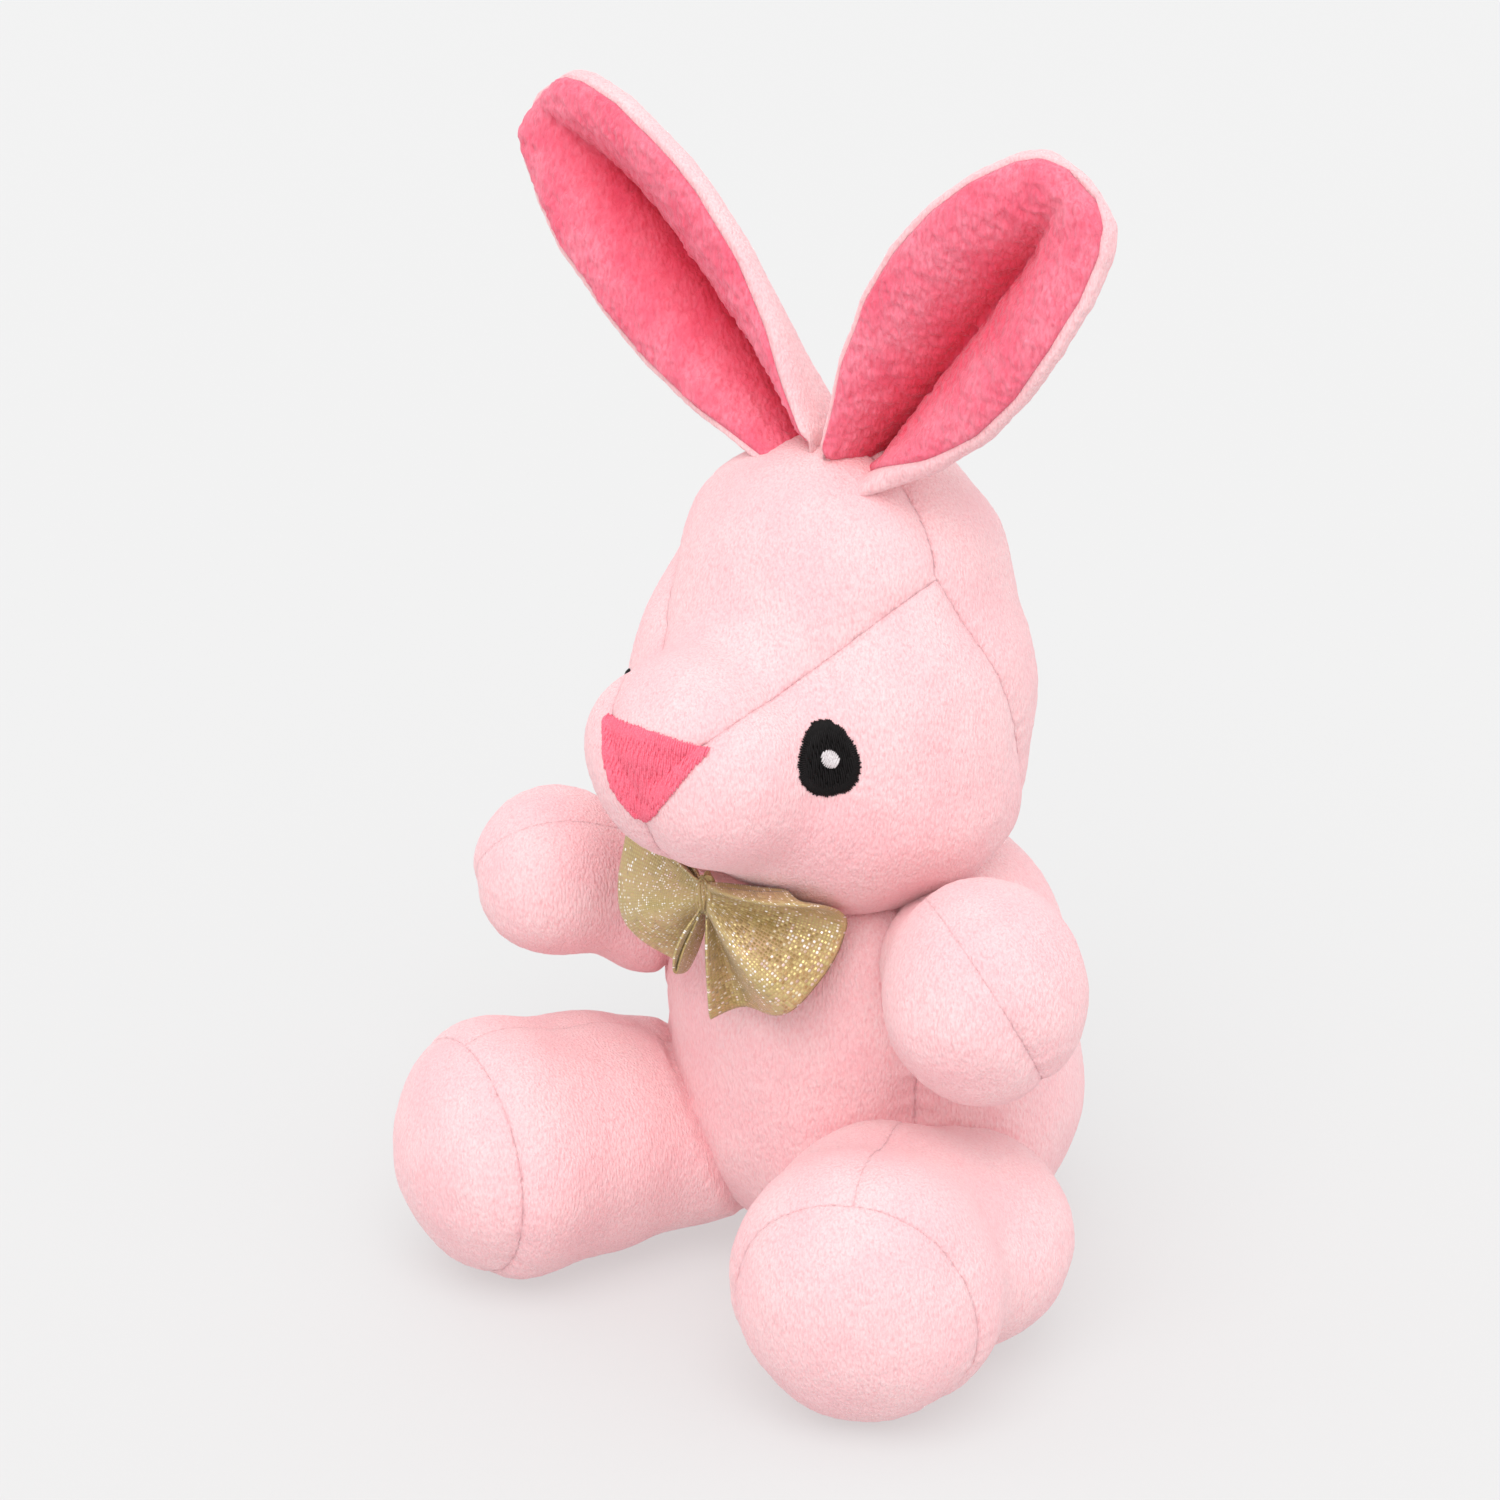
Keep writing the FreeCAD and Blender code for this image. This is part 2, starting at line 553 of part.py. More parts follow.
# ---------------------------------------------------------------- bow
for side, sign in sides.items():
    wing, sketch = new_body(f"bow_wing_{side}", "XZ_Plane")
    root_x, end_x = sign * number("pinch_width / 2"), sign * size("bow_reach")
    tops = [FreeCAD.Vector(root_x, 0, 0), FreeCAD.Vector(end_x, 0, 0)]
    lows = [FreeCAD.Vector(end_x, -size("bow_end_height"), 0),
            FreeCAD.Vector(root_x, -size("bow_root_height"), 0)]
    outline = tops + lows
    edges = [sketch.addGeometry(Part.LineSegment(a, b)) for a, b in zip(outline, outline[1:] + outline[:1])]
    for edge, following in zip(edges, edges[1:] + edges[:1]):
        sketch.addConstraint(Sketcher.Constraint("Coincident", edge, 2, following, 1))
    sketch.addConstraint(Sketcher.Constraint("PointOnObject", edges[0], 1, -1))
    sketch.addConstraint(Sketcher.Constraint("PointOnObject", edges[0], 2, -1))
    sketch.addConstraint(Sketcher.Constraint("Vertical", edges[1]))
    sketch.addConstraint(Sketcher.Constraint("Vertical", edges[3]))
    # distances run from the lower to the higher coordinate
    across = (lambda geo, pos: (-1, 1, geo, pos)) if sign > 0 else (lambda geo, pos: (geo, pos, -1, 1))
    name_size(sketch, Sketcher.Constraint("DistanceX", *across(edges[0], 1), abs(root_x)), "root", "pinch_width / 2")
    name_size(sketch, Sketcher.Constraint("DistanceX", *across(edges[0], 2), abs(end_x)), "reach", "bow_reach")
    name_size(sketch, Sketcher.Constraint("DistanceY", edges[1], 2, edges[1], 1, size("bow_end_height")),
              "end_height", "bow_end_height")
    name_size(sketch, Sketcher.Constraint("DistanceY", edges[3], 1, edges[3], 2, size("bow_root_height")),
              "root_height", "bow_root_height")
    pad = wing.newObject("PartDesign::Pad", f"bow_wing_{side}_pad")
    pad.Profile = sketch
    bind(pad, Length="bow_depth")
    wing.Tip = pad
    place(wing, ("0", "0 - bow_front + bow_depth", "bow_top"))
    piece(wing, f"bow_wing_{side}")

pinch = box("pinch", ("0 - pinch_width / 2", "0 - bow_front", "bow_top - pinch_height"),
            "pinch_width", "bow_depth", "pinch_height")
piece(pinch, "bow_pinch")

# a thread tack from the back of the pinch to the front of the chest
tack_rod = doc.addObject("Part::Cylinder", "tack_rod")
bind(tack_rod, Radius="tack_radius", Height="bow_front - bow_depth + seat_back")
place(tack_rod, ("0", "0 - bow_front + bow_depth", "bow_top - pinch_height + tack_radius"),
      FreeCAD.Rotation(FreeCAD.Vector(1, 0, 0), -90))
piece(combine("Cut", "tack", tack_rod, torso_outer), "bow_tack")

# ---------------------------------------------------------------- check and write
doc.recompute()
faults = [thing.Name for thing in doc.Objects if "Invalid" in thing.State or "Error" in thing.State]
for thing in pieces:
    if thing.Shape.isNull() or not thing.Shape.isValid() or len(thing.Shape.Solids) != 1:
        faults.append(f"{thing.Label} {[round(solid.Volume, 2) for solid in thing.Shape.Solids]}")
if faults:
    raise RuntimeError("these objects failed: " + ", ".join(faults))

os.makedirs("parts", exist_ok=True)
for thing in pieces:
    thing.Shape.exportStep(f"parts/{thing.Label}.step")
    print(f"{thing.Label}: {thing.Shape.Volume:.0f} mm3")
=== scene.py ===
import json
import math

import bpy
import numpy as np
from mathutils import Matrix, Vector, noise
from mathutils.bvhtree import BVHTree
from mathutils.kdtree import KDTree


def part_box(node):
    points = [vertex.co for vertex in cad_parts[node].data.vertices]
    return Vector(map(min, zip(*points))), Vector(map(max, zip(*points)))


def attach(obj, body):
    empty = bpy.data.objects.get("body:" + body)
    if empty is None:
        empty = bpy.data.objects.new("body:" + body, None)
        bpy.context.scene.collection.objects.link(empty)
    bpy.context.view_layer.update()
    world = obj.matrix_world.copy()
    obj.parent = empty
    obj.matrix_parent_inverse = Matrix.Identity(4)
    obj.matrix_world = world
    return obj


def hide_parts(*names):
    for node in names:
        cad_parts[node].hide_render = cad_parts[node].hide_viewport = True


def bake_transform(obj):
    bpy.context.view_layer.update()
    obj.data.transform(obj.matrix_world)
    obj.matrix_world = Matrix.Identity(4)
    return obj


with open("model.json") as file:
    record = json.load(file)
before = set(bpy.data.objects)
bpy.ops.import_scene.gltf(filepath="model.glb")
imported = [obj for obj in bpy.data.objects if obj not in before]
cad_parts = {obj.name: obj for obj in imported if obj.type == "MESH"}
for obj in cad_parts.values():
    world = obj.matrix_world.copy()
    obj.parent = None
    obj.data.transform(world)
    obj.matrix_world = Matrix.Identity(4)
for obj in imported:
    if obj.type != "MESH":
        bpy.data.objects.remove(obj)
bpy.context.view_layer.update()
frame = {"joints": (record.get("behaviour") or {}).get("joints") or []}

mm = 0.001
draws = np.random.default_rng(11)


def pick(*objs):
    if bpy.context.object and bpy.context.object.mode != "OBJECT":
        bpy.ops.object.mode_set(mode="OBJECT")
    bpy.ops.object.select_all(action="DESELECT")
    for obj in objs:
        obj.select_set(True)
    if objs:
        bpy.context.view_layer.objects.active = objs[0]


def selectFaces(obj, mask):
    pick(obj)
    mesh = obj.data
    mesh.vertices.foreach_set("select", np.zeros(len(mesh.vertices), bool))
    mesh.edges.foreach_set("select", np.zeros(len(mesh.edges), bool))
    mesh.polygons.foreach_set("select", np.asarray(mask, bool))
    bpy.context.tool_settings.mesh_select_mode = (False, False, True)
    bpy.ops.object.mode_set(mode="EDIT")


def selectAll(obj):
    selectFaces(obj, np.ones(len(obj.data.polygons), bool))


def turnOutward(obj):  # every face looks out of the solid
    selectAll(obj)
    bpy.ops.mesh.normals_make_consistent(inside=False)
    bpy.ops.object.mode_set(mode="OBJECT")


def readMesh(items, name, width=3, kind=float):  # one row for each item
    values = np.zeros(len(items) * width, kind)
    items.foreach_get(name, values)
    return values.reshape(-1, width) if width > 1 else values


def readWhole(items, name):
    return readMesh(items, name, 1, np.int32)


def readPoints(obj):  # corner places in millimetres
    return readMesh(obj.data.vertices, "co") / mm


def writePoints(obj, points):
    obj.data.vertices.foreach_set("co", (np.asarray(points) * mm).ravel())
    obj.data.update()


def readNormals(obj):
    return readMesh(obj.data.vertices, "normal")


def faceCentres(obj):
    return readMesh(obj.data.polygons, "center") / mm


def raiseSkin(obj, height):  # each corner moved out along its normal
    writePoints(obj, readPoints(obj) + readNormals(obj) * height[:, None])


def keepAbove(points, floor):
    points[:, 2] = np.maximum(points[:, 2], floor)
    return points


def writeAttribute(obj, name, values):
    layer = obj.data.attributes.get(name) or obj.data.attributes.new(name, "FLOAT", "POINT")
    layer.data.foreach_set("value", np.asarray(values, np.float32))


def writeUv(obj, layer, columns):
    corner = readWhole(obj.data.loops, "vertex_index")
    layer.data.foreach_set("uv", np.column_stack(columns)[corner].ravel())


def useModifier(obj, kind, **settings):
    pick(obj)
    modifier = obj.modifiers.new(kind.title(), kind)
    for key, value in settings.items():
        setattr(modifier, key, value)
    bpy.ops.object.modifier_apply(modifier=modifier.name)


def refine(obj, levels):
    useModifier(obj, "SUBSURF", levels=levels, render_levels=levels)


def addSphere(segments, rings):
    pick()
    bpy.ops.mesh.primitive_uv_sphere_add(segments=segments, ring_count=rings, radius=1)
    return bpy.context.object


def addGrid(across, along):
    pick()
    bpy.ops.mesh.primitive_grid_add(x_subdivisions=across, y_subdivisions=along, size=2)
    return bpy.context.object


def pointTree(points):
    tree = KDTree(len(points))
    for index, point in enumerate(points):
        tree.insert(point, index)
    tree.balance()
    return tree


def lumps(points, size, shift=0.0):  # smooth random height, about -1 to 1, one lump about size mm
    return np.array([noise.noise(Vector(p) / size + Vector((shift, shift, shift))) for p in points])


def unit(vector):
    vector = np.asarray(vector, float)
    return vector / np.linalg.norm(vector)


def smoothStep(t):
    t = np.clip(t, 0, 1)
    return t * t * (3 - 2 * t)


def bell(away, width):  # 1 at no distance, nearly 0 at twice the width
    return np.exp(-(away / width) ** 2)


def colour(hexCode):
    parts = [int(hexCode[i:i + 2], 16) / 255 for i in (1, 3, 5)]
    return tuple(c / 12.92 if c < 0.04045 else ((c + 0.055) / 1.055) ** 2.4 for c in parts) + (1.0,)


def addNode(tree, kind, inputs=None, **props):
    node = tree.nodes.new("ShaderNode" + kind)
    for key, value in props.items():
        setattr(node, key, value)
    for key, value in (inputs or {}).items():
        if isinstance(value, bpy.types.NodeSocket):
            tree.links.new(value, node.inputs[key])
        else:
            node.inputs[key].default_value = value
    return node


def newMaterial(name):
    material = bpy.data.materials.new(name)
    material.use_nodes = True
    material.node_tree.nodes.clear()
    return material, material.node_tree


def ramp(tree, value, low, high):
    return addNode(tree, "MapRange", {"Value": value, "From Min": low, "From Max": high}).outputs["Result"]


def mixColours(tree, share, first, second, blend="MIX"):
    node = addNode(tree, "Mix", {0: share, 6: first, 7: second}, data_type="RGBA", blend_type=blend)
    return node.outputs[2]


def times(tree, value, factor):
    return addNode(tree, "Math", {0: value, 1: factor}, operation="MULTIPLY").outputs["Value"]


def vectorMath(tree, operation, first, second):
    return addNode(tree, "VectorMath", {0: first, **second}, operation=operation).outputs["Vector"]


def noiseOf(tree, place, size, **more):  # one grain about size mm
    return addNode(tree, "TexNoise", {"Vector": place, "Scale": 1 / (size * mm), **more}).outputs["Fac"]


def bumpOf(tree, height, strength, relief, **more):
    return addNode(tree, "Bump", {"Strength": strength, "Distance": relief * mm, "Height": height,
                                  **more}).outputs["Normal"]


def addSurface(tree, settings):
    shader = addNode(tree, "BsdfPrincipled", settings)
    addNode(tree, "OutputMaterial", {"Surface": shader.outputs["BSDF"]})


def plush(name, look):
    # cut-pile polyester velour: matt, with a pale bloom at the edges and short pile that lies in streaks
    material, tree = newMaterial(name)
    place = addNode(tree, "TexCoord").outputs["Object"]
    lay = addNode(tree, "Mapping", {"Vector": place, "Rotation": look["lay"], "Scale": look["stretch"]})
    lying = lay.outputs["Vector"]
    pile = noiseOf(tree, lying, look["pile"], Detail=3.0, Roughness=0.6, Distortion=0.4)
    tufts = addNode(tree, "TexVoronoi", {"Vector": lying, "Scale": 1 / (look["tuft"] * mm)}).outputs["Distance"]
    patches = ramp(tree, noiseOf(tree, place, look["patch"], Detail=2.0), 0.35, 0.65)
    patchy = mixColours(tree, patches, colour(look["base"]), colour(look["light"]))
    parted = times(tree, ramp(tree, pile, 0.56, 0.34), look["parting"])
    deep = mixColours(tree, parted, patchy, colour(look["deep"]))
    between = times(tree, ramp(tree, tufts, 0.35, 0.8), look["tuftShade"])
    tufted = mixColours(tree, between, deep, colour(look["deep"]))
    # painted shade: the seam attribute darkens the colour in the seam grooves, in the crease where a limb is sewn
    # on, and in the tail's dips
    seam = addNode(tree, "Attribute", attribute_name="seam").outputs["Fac"]
    sewn = mixColours(tree, times(tree, seam, look["seam"]), tufted, colour(look["seamShadeColour"]))
    # painted shade: the fold attribute darkens the colour down the trough of the inner ear panel
    fold = addNode(tree, "Attribute", attribute_name="fold").outputs["Fac"]
    final = mixColours(tree, times(tree, fold, look["fold"]), sewn, colour(look["foldShadeColour"]))
    height = addNode(tree, "Math", {0: pile, 1: tufts}, operation="SUBTRACT").outputs["Value"]
    addSurface(tree, {
        "Base Color": final, "Normal": bumpOf(tree, height, look["bump"], look["relief"]),
        "Roughness": 0.92, "Specular IOR Level": 0.15,
        "Sheen Weight": look["sheen"], "Sheen Roughness": 0.45, "Sheen Tint": colour(look["sheenTint"]),
        "Subsurface Weight": look["glow"], "Subsurface Radius": (1.0, 0.45, 0.4), "Subsurface Scale": 2.5 * mm})
    return material


# sizes in millimetres, the rest are shares and strengths
# the seam and fold colours are painted shade colours: one for the seam grooves and joins, one for the trough of
# the inner ear
pinkLook = {"base": "#f8c6ca", "light": "#f9d0d2", "deep": "#eca2a8",
            "seamShadeColour": "#e99aa0", "seam": 0.3, "foldShadeColour": "#efa2aa", "fold": 0.0,
            "pile": 0.42, "tuft": 0.5, "patch": 14, "parting": 0.5, "tuftShade": 0.15,
            "bump": 0.7, "relief": 0.35, "lay": (0.3, 0.5, 0.2), "stretch": (1.0, 1.0, 0.38),
            "sheen": 0.35, "sheenTint": "#ffe9ec", "glow": 0.12}
roseLook = {"base": "#f56f86", "light": "#fb8b9e", "deep": "#e6526a",
            "seamShadeColour": "#e8647a", "seam": 0.3, "foldShadeColour": "#e0304c", "fold": 0.8,
            "pile": 0.6, "tuft": 0.95, "patch": 9, "parting": 0.5, "tuftShade": 0.28,
            "bump": 0.75, "relief": 0.6, "lay": (0.2, 0.9, 0.1), "stretch": (1.0, 1.0, 0.35),
            "sheen": 0.5, "sheenTint": "#ffb0c0", "glow": 0.2}
pinkPlush = plush("pinkVelour", pinkLook)
rosePlush = plush("roseVelour", roseLook)


def thread(name, base, dark, sheen, shine=0.4):
    # rayon embroidery thread: smooth shiny filaments, seen as a run of fine twisted strands
    material, tree = newMaterial(name)
    place = addNode(tree, "TexCoord").outputs["Object"]
    strands = noiseOf(tree, place, 0.35, Detail=2.0)
    mixed = mixColours(tree, ramp(tree, strands, 0.35, 0.65), colour(dark), colour(base))
    addSurface(tree, {"Base Color": mixed, "Normal": bumpOf(tree, strands, 0.4, 0.08), "Roughness": 0.5,
                      "Specular IOR Level": shine, "Sheen Weight": sheen, "Sheen Roughness": 0.35})
    return material


roseThread = thread("roseRayonThread", "#f5768c", "#e65d76", 0.15)
blackThread = thread("blackRayonThread", "#100c0d", "#060404", 0.0, 0.18)
whiteThread = thread("whiteRayonThread", "#dcd6d7", "#bdb5b7", 0.05)


def glitterCloth(name, look):
    # knitted polyester with foil dots: matt gold ground, each dot a tiny mirror set its own way
    material, tree = newMaterial(name)
    cloth = addNode(tree, "UVMap", uv_map="cloth").outputs["UV"]
    dots = addNode(tree, "TexVoronoi", {"Vector": cloth, "Scale": 1 / look["pitch"], "Randomness": 0.12})
    wander = addNode(tree, "TexNoise", {"Vector": cloth, "Scale": 0.12, "Detail": 2.0})
    ground = mixColours(tree, ramp(tree, wander.outputs["Fac"], 0.3, 0.7),
                        colour(look["olive"]), colour(look["peach"]))
    parts = addNode(tree, "SeparateColor", {"Color": dots.outputs["Color"]})
    # painted glints: a random share of the foil dots is coloured near white
    foil = mixColours(tree, ramp(tree, parts.outputs["Red"], 0.72, 0.95),
                      colour(look["foil"]), colour(look["paintedGlint"]))
    printed = ramp(tree, dots.outputs["Distance"], 0.42, 0.3)  # 1 on a dot, 0 between
    offCentre = vectorMath(tree, "SUBTRACT", dots.outputs["Color"], {1: (0.5, 0.5, 0.5)})
    spread = vectorMath(tree, "SCALE", offCentre, {"Scale": look["tilt"]})
    flat = addNode(tree, "NewGeometry").outputs["Normal"]
    facing = vectorMath(tree, "NORMALIZE", vectorMath(tree, "ADD", flat, {1: spread}), {})
    rough = addNode(tree, "MapRange", {"Value": printed, "To Min": 0.65, "To Max": 0.28})
    addSurface(tree, {"Base Color": mixColours(tree, printed, ground, foil),
                      "Normal": bumpOf(tree, printed, 0.5, 0.1, Normal=facing),
                      "Roughness": rough.outputs["Result"], "Metallic": times(tree, printed, 0.7),
                      "Sheen Weight": 0.2})
    return material


glitterLook = {"pitch": 0.6, "tilt": 0.6, "olive": "#a8935a", "peach": "#c9a880", "foil": "#c4b178",
               "paintedGlint": "#fffdf6"}
goldCloth = glitterCloth("goldGlitterKnit", glitterLook)


def fibre(name, base, light):
    # carded polyester filling: white crimped fibre in soft clumps
    material, tree = newMaterial(name)
    place = addNode(tree, "TexCoord").outputs["Object"]
    clumps = noiseOf(tree, place, 3, Detail=5.0, Distortion=1.5)
    mixed = mixColours(tree, clumps, colour(base), colour(light))
    addSurface(tree, {"Base Color": mixed, "Normal": bumpOf(tree, clumps, 0.8, 0.6), "Roughness": 0.95,
                      "Sheen Weight": 0.4})
    return material


fillingFibre = fibre("cardedPolyester", "#dcdad6", "#f4f2ee")
waddingFibre = fibre("bondedWadding", "#e6e2dd", "#f7f5f1")
print("materials made")


def addBall(centre, radii, turn=(0, 0, 0)):
    bpy.ops.mesh.primitive_uv_sphere_add(
        segments=48, ring_count=24, radius=1, location=Vector(centre) * mm,
        rotation=[math.radians(a) for a in turn], scale=Vector(radii) * mm)
    bpy.ops.object.transform_apply(location=True, rotation=True, scale=True)
    return bpy.context.object


def weldBalls(name, balls, voxel, rounds):
    pick()
    made = [addBall(*ball) for ball in balls]
    pick(*made)
    bpy.ops.object.join()
    obj = bpy.context.object
    obj.name = obj.data.name = name
    useModifier(obj, "REMESH", mode="VOXEL", voxel_size=voxel * mm)
    useModifier(obj, "SMOOTH", factor=0.5, iterations=rounds)
    return obj


def seamGap(points, seams):  # distance from each point to the nearest seam that is there
    gap = np.full(len(points), 99.0)
    for seam in seams:
        away = np.abs((points - seam["point"]) @ unit(seam["normal"]))
        gap = np.where(seam["there"](points), np.minimum(gap, away), gap)
    return gap


def puff(obj, seams, look):
    # the cover is blown up like a stuffed one, held where it is sewn, at many times its size
    start = readPoints(obj)
    hold = obj.vertex_groups.new(name="sewn")
    weights = 1 - smoothStep((seamGap(start, seams) - look["held"]) / look["loosens"])
    for index, weight in enumerate(weights):
        if weight > 0.01:
            hold.add([index], float(weight), "REPLACE")
    writePoints(obj, start * look["enlarged"])
    modifier = obj.modifiers.new("Fill", "CLOTH")
    cloth = modifier.settings
    cloth.quality, cloth.mass = 5, 0.3
    cloth.tension_stiffness = cloth.compression_stiffness = look["stiff"]
    cloth.shear_stiffness, cloth.bending_stiffness = 5, 0.5
    cloth.use_pressure, cloth.uniform_pressure_force = True, look["pressure"]
    cloth.vertex_group_mass = "sewn"
    cloth.effector_weights.gravity = 0
    modifier.point_cache.frame_start, modifier.point_cache.frame_end = 1, look["steps"]
    for step in range(1, look["steps"] + 1):
        bpy.context.scene.frame_set(step)
    shown = obj.evaluated_get(bpy.context.evaluated_depsgraph_get())
    moved = readPoints(shown) / look["enlarged"] - start
    obj.modifiers.remove(modifier)
    obj.vertex_groups.remove(hold)
    bpy.context.scene.frame_set(1)
    length = np.linalg.norm(moved, axis=1, keepdims=True)
    writePoints(obj, start + moved * np.minimum(1, look["cap"] / np.maximum(length, 1e-6)))
    print(f"  {obj.name} filled, moved {length.mean():.2f} mm, most {length.max():.2f} mm")


def makeFilling(obj, name, inset, body, node):
    pick(obj)
    bpy.ops.object.duplicate()
    filling = bpy.context.object
    filling.name = filling.data.name = name
    refine(filling, 1)
    points, normals = readPoints(filling), readNormals(filling)
    height = lumps(points, 9, 3.1) * 0.9 + lumps(points, 3.5, 7.7) * 0.4
    writePoints(filling, keepAbove(points + normals * (height - inset)[:, None], fillFloor))
    finishPiece(filling, fillingFibre)
    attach(filling, body)
    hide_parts(node)


def finishPiece(obj, material):
    pick(obj)
    obj.data.materials.clear()
    obj.data.materials.append(material)
    obj.data.polygons.foreach_set("material_index", np.zeros(len(obj.data.polygons), np.int32))
    bpy.ops.object.shade_smooth()


def cutSeams(obj, seams, panelOf):
    for seam in seams:
        selectFaces(obj, seam["there"](faceCentres(obj)))
        bpy.ops.mesh.bisect(plane_co=Vector(seam["point"]) * mm, plane_no=Vector(unit(seam["normal"])),
                            threshold=0.02 * mm)
        bpy.ops.object.mode_set(mode="OBJECT")
    selectAll(obj)
    bpy.ops.mesh.remove_doubles(threshold=0.13 * mm)  # slivers beside a cut
    bpy.ops.object.mode_set(mode="OBJECT")
    panels = panelOf(faceCentres(obj)).astype(np.int32)
    obj.data.polygons.foreach_set("material_index", panels)
    return panels


def seamPoints(obj, panels):  # points along every edge between two panels
    mesh = obj.data
    edgeOf = readWhole(mesh.loops, "edge_index")
    panelOfLoop = np.repeat(panels, readWhole(mesh.polygons, "loop_total"))
    low, high = np.full(len(mesh.edges), 99), np.full(len(mesh.edges), -1)
    np.minimum.at(low, edgeOf, panelOfLoop)
    np.maximum.at(high, edgeOf, panelOfLoop)
    ends = readMesh(mesh.edges, "vertices", 2, np.int32)[low != high]
    co = readPoints(obj)
    return np.vstack([co[ends[:, 0]], co[ends[:, 1]], (co[ends[:, 0]] + co[ends[:, 1]]) / 2])


def sinkSeams(obj, line, look, strength, against):
    # the sewing pulls a narrow groove with small puckers either side, and the filling gives soft lumps
    tree = pointTree(line)
    points, normals = readPoints(obj), readNormals(obj)
    found = [tree.find(p) for p in points]
    gap = np.array([f[2] for f in found])
    nearest = np.array([f[0] for f in found])
    height = -look["groove"] * bell(gap, look["grooveWidth"]) - look["dip"] * bell(gap, look["dipWidth"])
    near = gap < look["puckerReach"]
    pucker = np.zeros(len(points))
    pucker[near] = lumps(nearest[near], look["puckerSize"], 5.0)
    height += look["pucker"] * pucker * bell(gap - 1.6, 2.4)
    height *= strength(points)
    height += look["lump"] * lumps(points, 17, 1.3) + look["lump"] * 0.3 * lumps(points, 7, 9.1)
    height += look["nap"] * lumps(points, 1.5, 2.2)
    # painted shade: darker in and beside each seam groove, more where it puckers
    shade = bell(gap, 0.75) * (0.6 + 0.7 * pucker) * strength(points)
    if against:  # where a limb is sewn on, its cover is drawn in along the join
        reach = look["joinReach"]
        away = np.array([against.find_nearest(Vector(p), reach)[3] or reach for p in points])
        drawn = lumps(points, 2.6, 4.1)
        height -= look["join"] * bell(away, look["joinWidth"]) - 0.45 * drawn * bell(away, 3.6)
        # painted shade in the crease where the limb meets the torso
        shade = np.maximum(shade, bell(away, 1.3) * (0.75 + 0.5 * drawn))
    writePoints(obj, keepAbove(points + normals * height[:, None], coverFloor))
    writeAttribute(obj, "seam", shade)


def splitPanels(obj, faces, panels, material, wall):
    tags = [bpy.data.materials.new("panel_" + name) for name in panels]
    obj.data.materials.clear()
    for tag in tags:
        obj.data.materials.append(tag)
    obj.data.polygons.foreach_set("material_index", faces.astype(np.int32))
    selectAll(obj)
    bpy.ops.mesh.separate(type="MATERIAL")
    bpy.ops.object.mode_set(mode="OBJECT")
    made = {}
    for part in list(bpy.context.selected_objects):
        tag = part.data.materials[part.data.polygons[0].material_index].name
        name = tag[len("panel_"):]
        part.name = part.data.name = name + "_cloth"
        useModifier(part, "SOLIDIFY", thickness=wall * mm, offset=-1)
        finishPiece(part, material)
        made[name] = part
    for tag in tags:
        bpy.data.materials.remove(tag)
    return made


coverWall, coverFloor, fillFloor = 1.1, 0.02, 2.2
toySeams = {"groove": 0.4, "grooveWidth": 0.9, "dip": 0.7, "dipWidth": 3.4, "lump": 0.7, "nap": 0.11,
            "pucker": 0.4, "puckerSize": 2.1, "puckerReach": 12, "join": 1.2, "joinWidth": 1.9, "joinReach": 9.0}
toyFill = {"stiff": 2.5, "pressure": 14.0, "cap": 2.2, "held": 1.5, "loosens": 5.0, "enlarged": 10, "steps": 20}


def evenly(points):
    return np.ones(len(points))


def stuffed(name, balls, seams, panelOf, panels, body, node, strength=evenly, voxel=3.0, rounds=8, inset=3.0,
            against=None):
    obj = weldBalls(name, balls, voxel, rounds)
    puff(obj, seams, toyFill)
    writePoints(obj, keepAbove(readPoints(obj), coverFloor))
    makeFilling(obj, name + "_fill", inset, body, node)
    refine(obj, 2)
    faces = cutSeams(obj, seams, panelOf)
    sinkSeams(obj, seamPoints(obj, faces), toySeams, strength, against)
    skin = readPoints(obj), [tuple(p.vertices) for p in obj.data.polygons]
    made = splitPanels(obj, faces, panels, pinkPlush, coverWall)
    for panel, part in made.items():
        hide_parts(panel)
    print(f"{name} sewn, {sum(len(p.data.polygons) for p in made.values())} faces")
    return made, skin


def anywhere(points):
    return np.ones(len(points), bool)


# torso: a pear that leans back over the seat
torsoLook = {"balls": [((0, 18, 33), (43.5, 39, 34)), ((0, 16, 55), (41.5, 38, 31)),
                       ((0, 15, 69), (38, 35, 21)), ((0, 9, 80), (22, 21, 12))],
             "middle": (0, 14, 0), "bellyHalf": 55, "seat": 6.5}


def torsoSide(points):
    return np.degrees(np.arctan2(points[:, 0], torsoLook["middle"][1] - points[:, 1]))


def torsoPanel(points):
    turn = torsoSide(points)
    panel = np.where(np.abs(turn) < torsoLook["bellyHalf"], 1, np.where(turn > 0, 2, 3))
    return np.where(points[:, 2] < torsoLook["seat"], 0, panel)


def torsoSeams():
    half, middle, seat = math.radians(torsoLook["bellyHalf"]), torsoLook["middle"], torsoLook["seat"]
    seams = [{"point": (0, 0, seat), "normal": (0, 0, 1), "there": anywhere},
             {"point": middle, "normal": (1, 0, 0), "there": lambda p: (p[:, 1] > middle[1]) & (p[:, 2] > seat)}]
    for side in (1, -1):
        seams.append({
            "point": middle, "normal": (math.cos(half), side * math.sin(half), 0),
            "there": lambda p, side=side: (side * p[:, 0] > 0) & (p[:, 1] < middle[1]) & (p[:, 2] > seat)})
    return seams


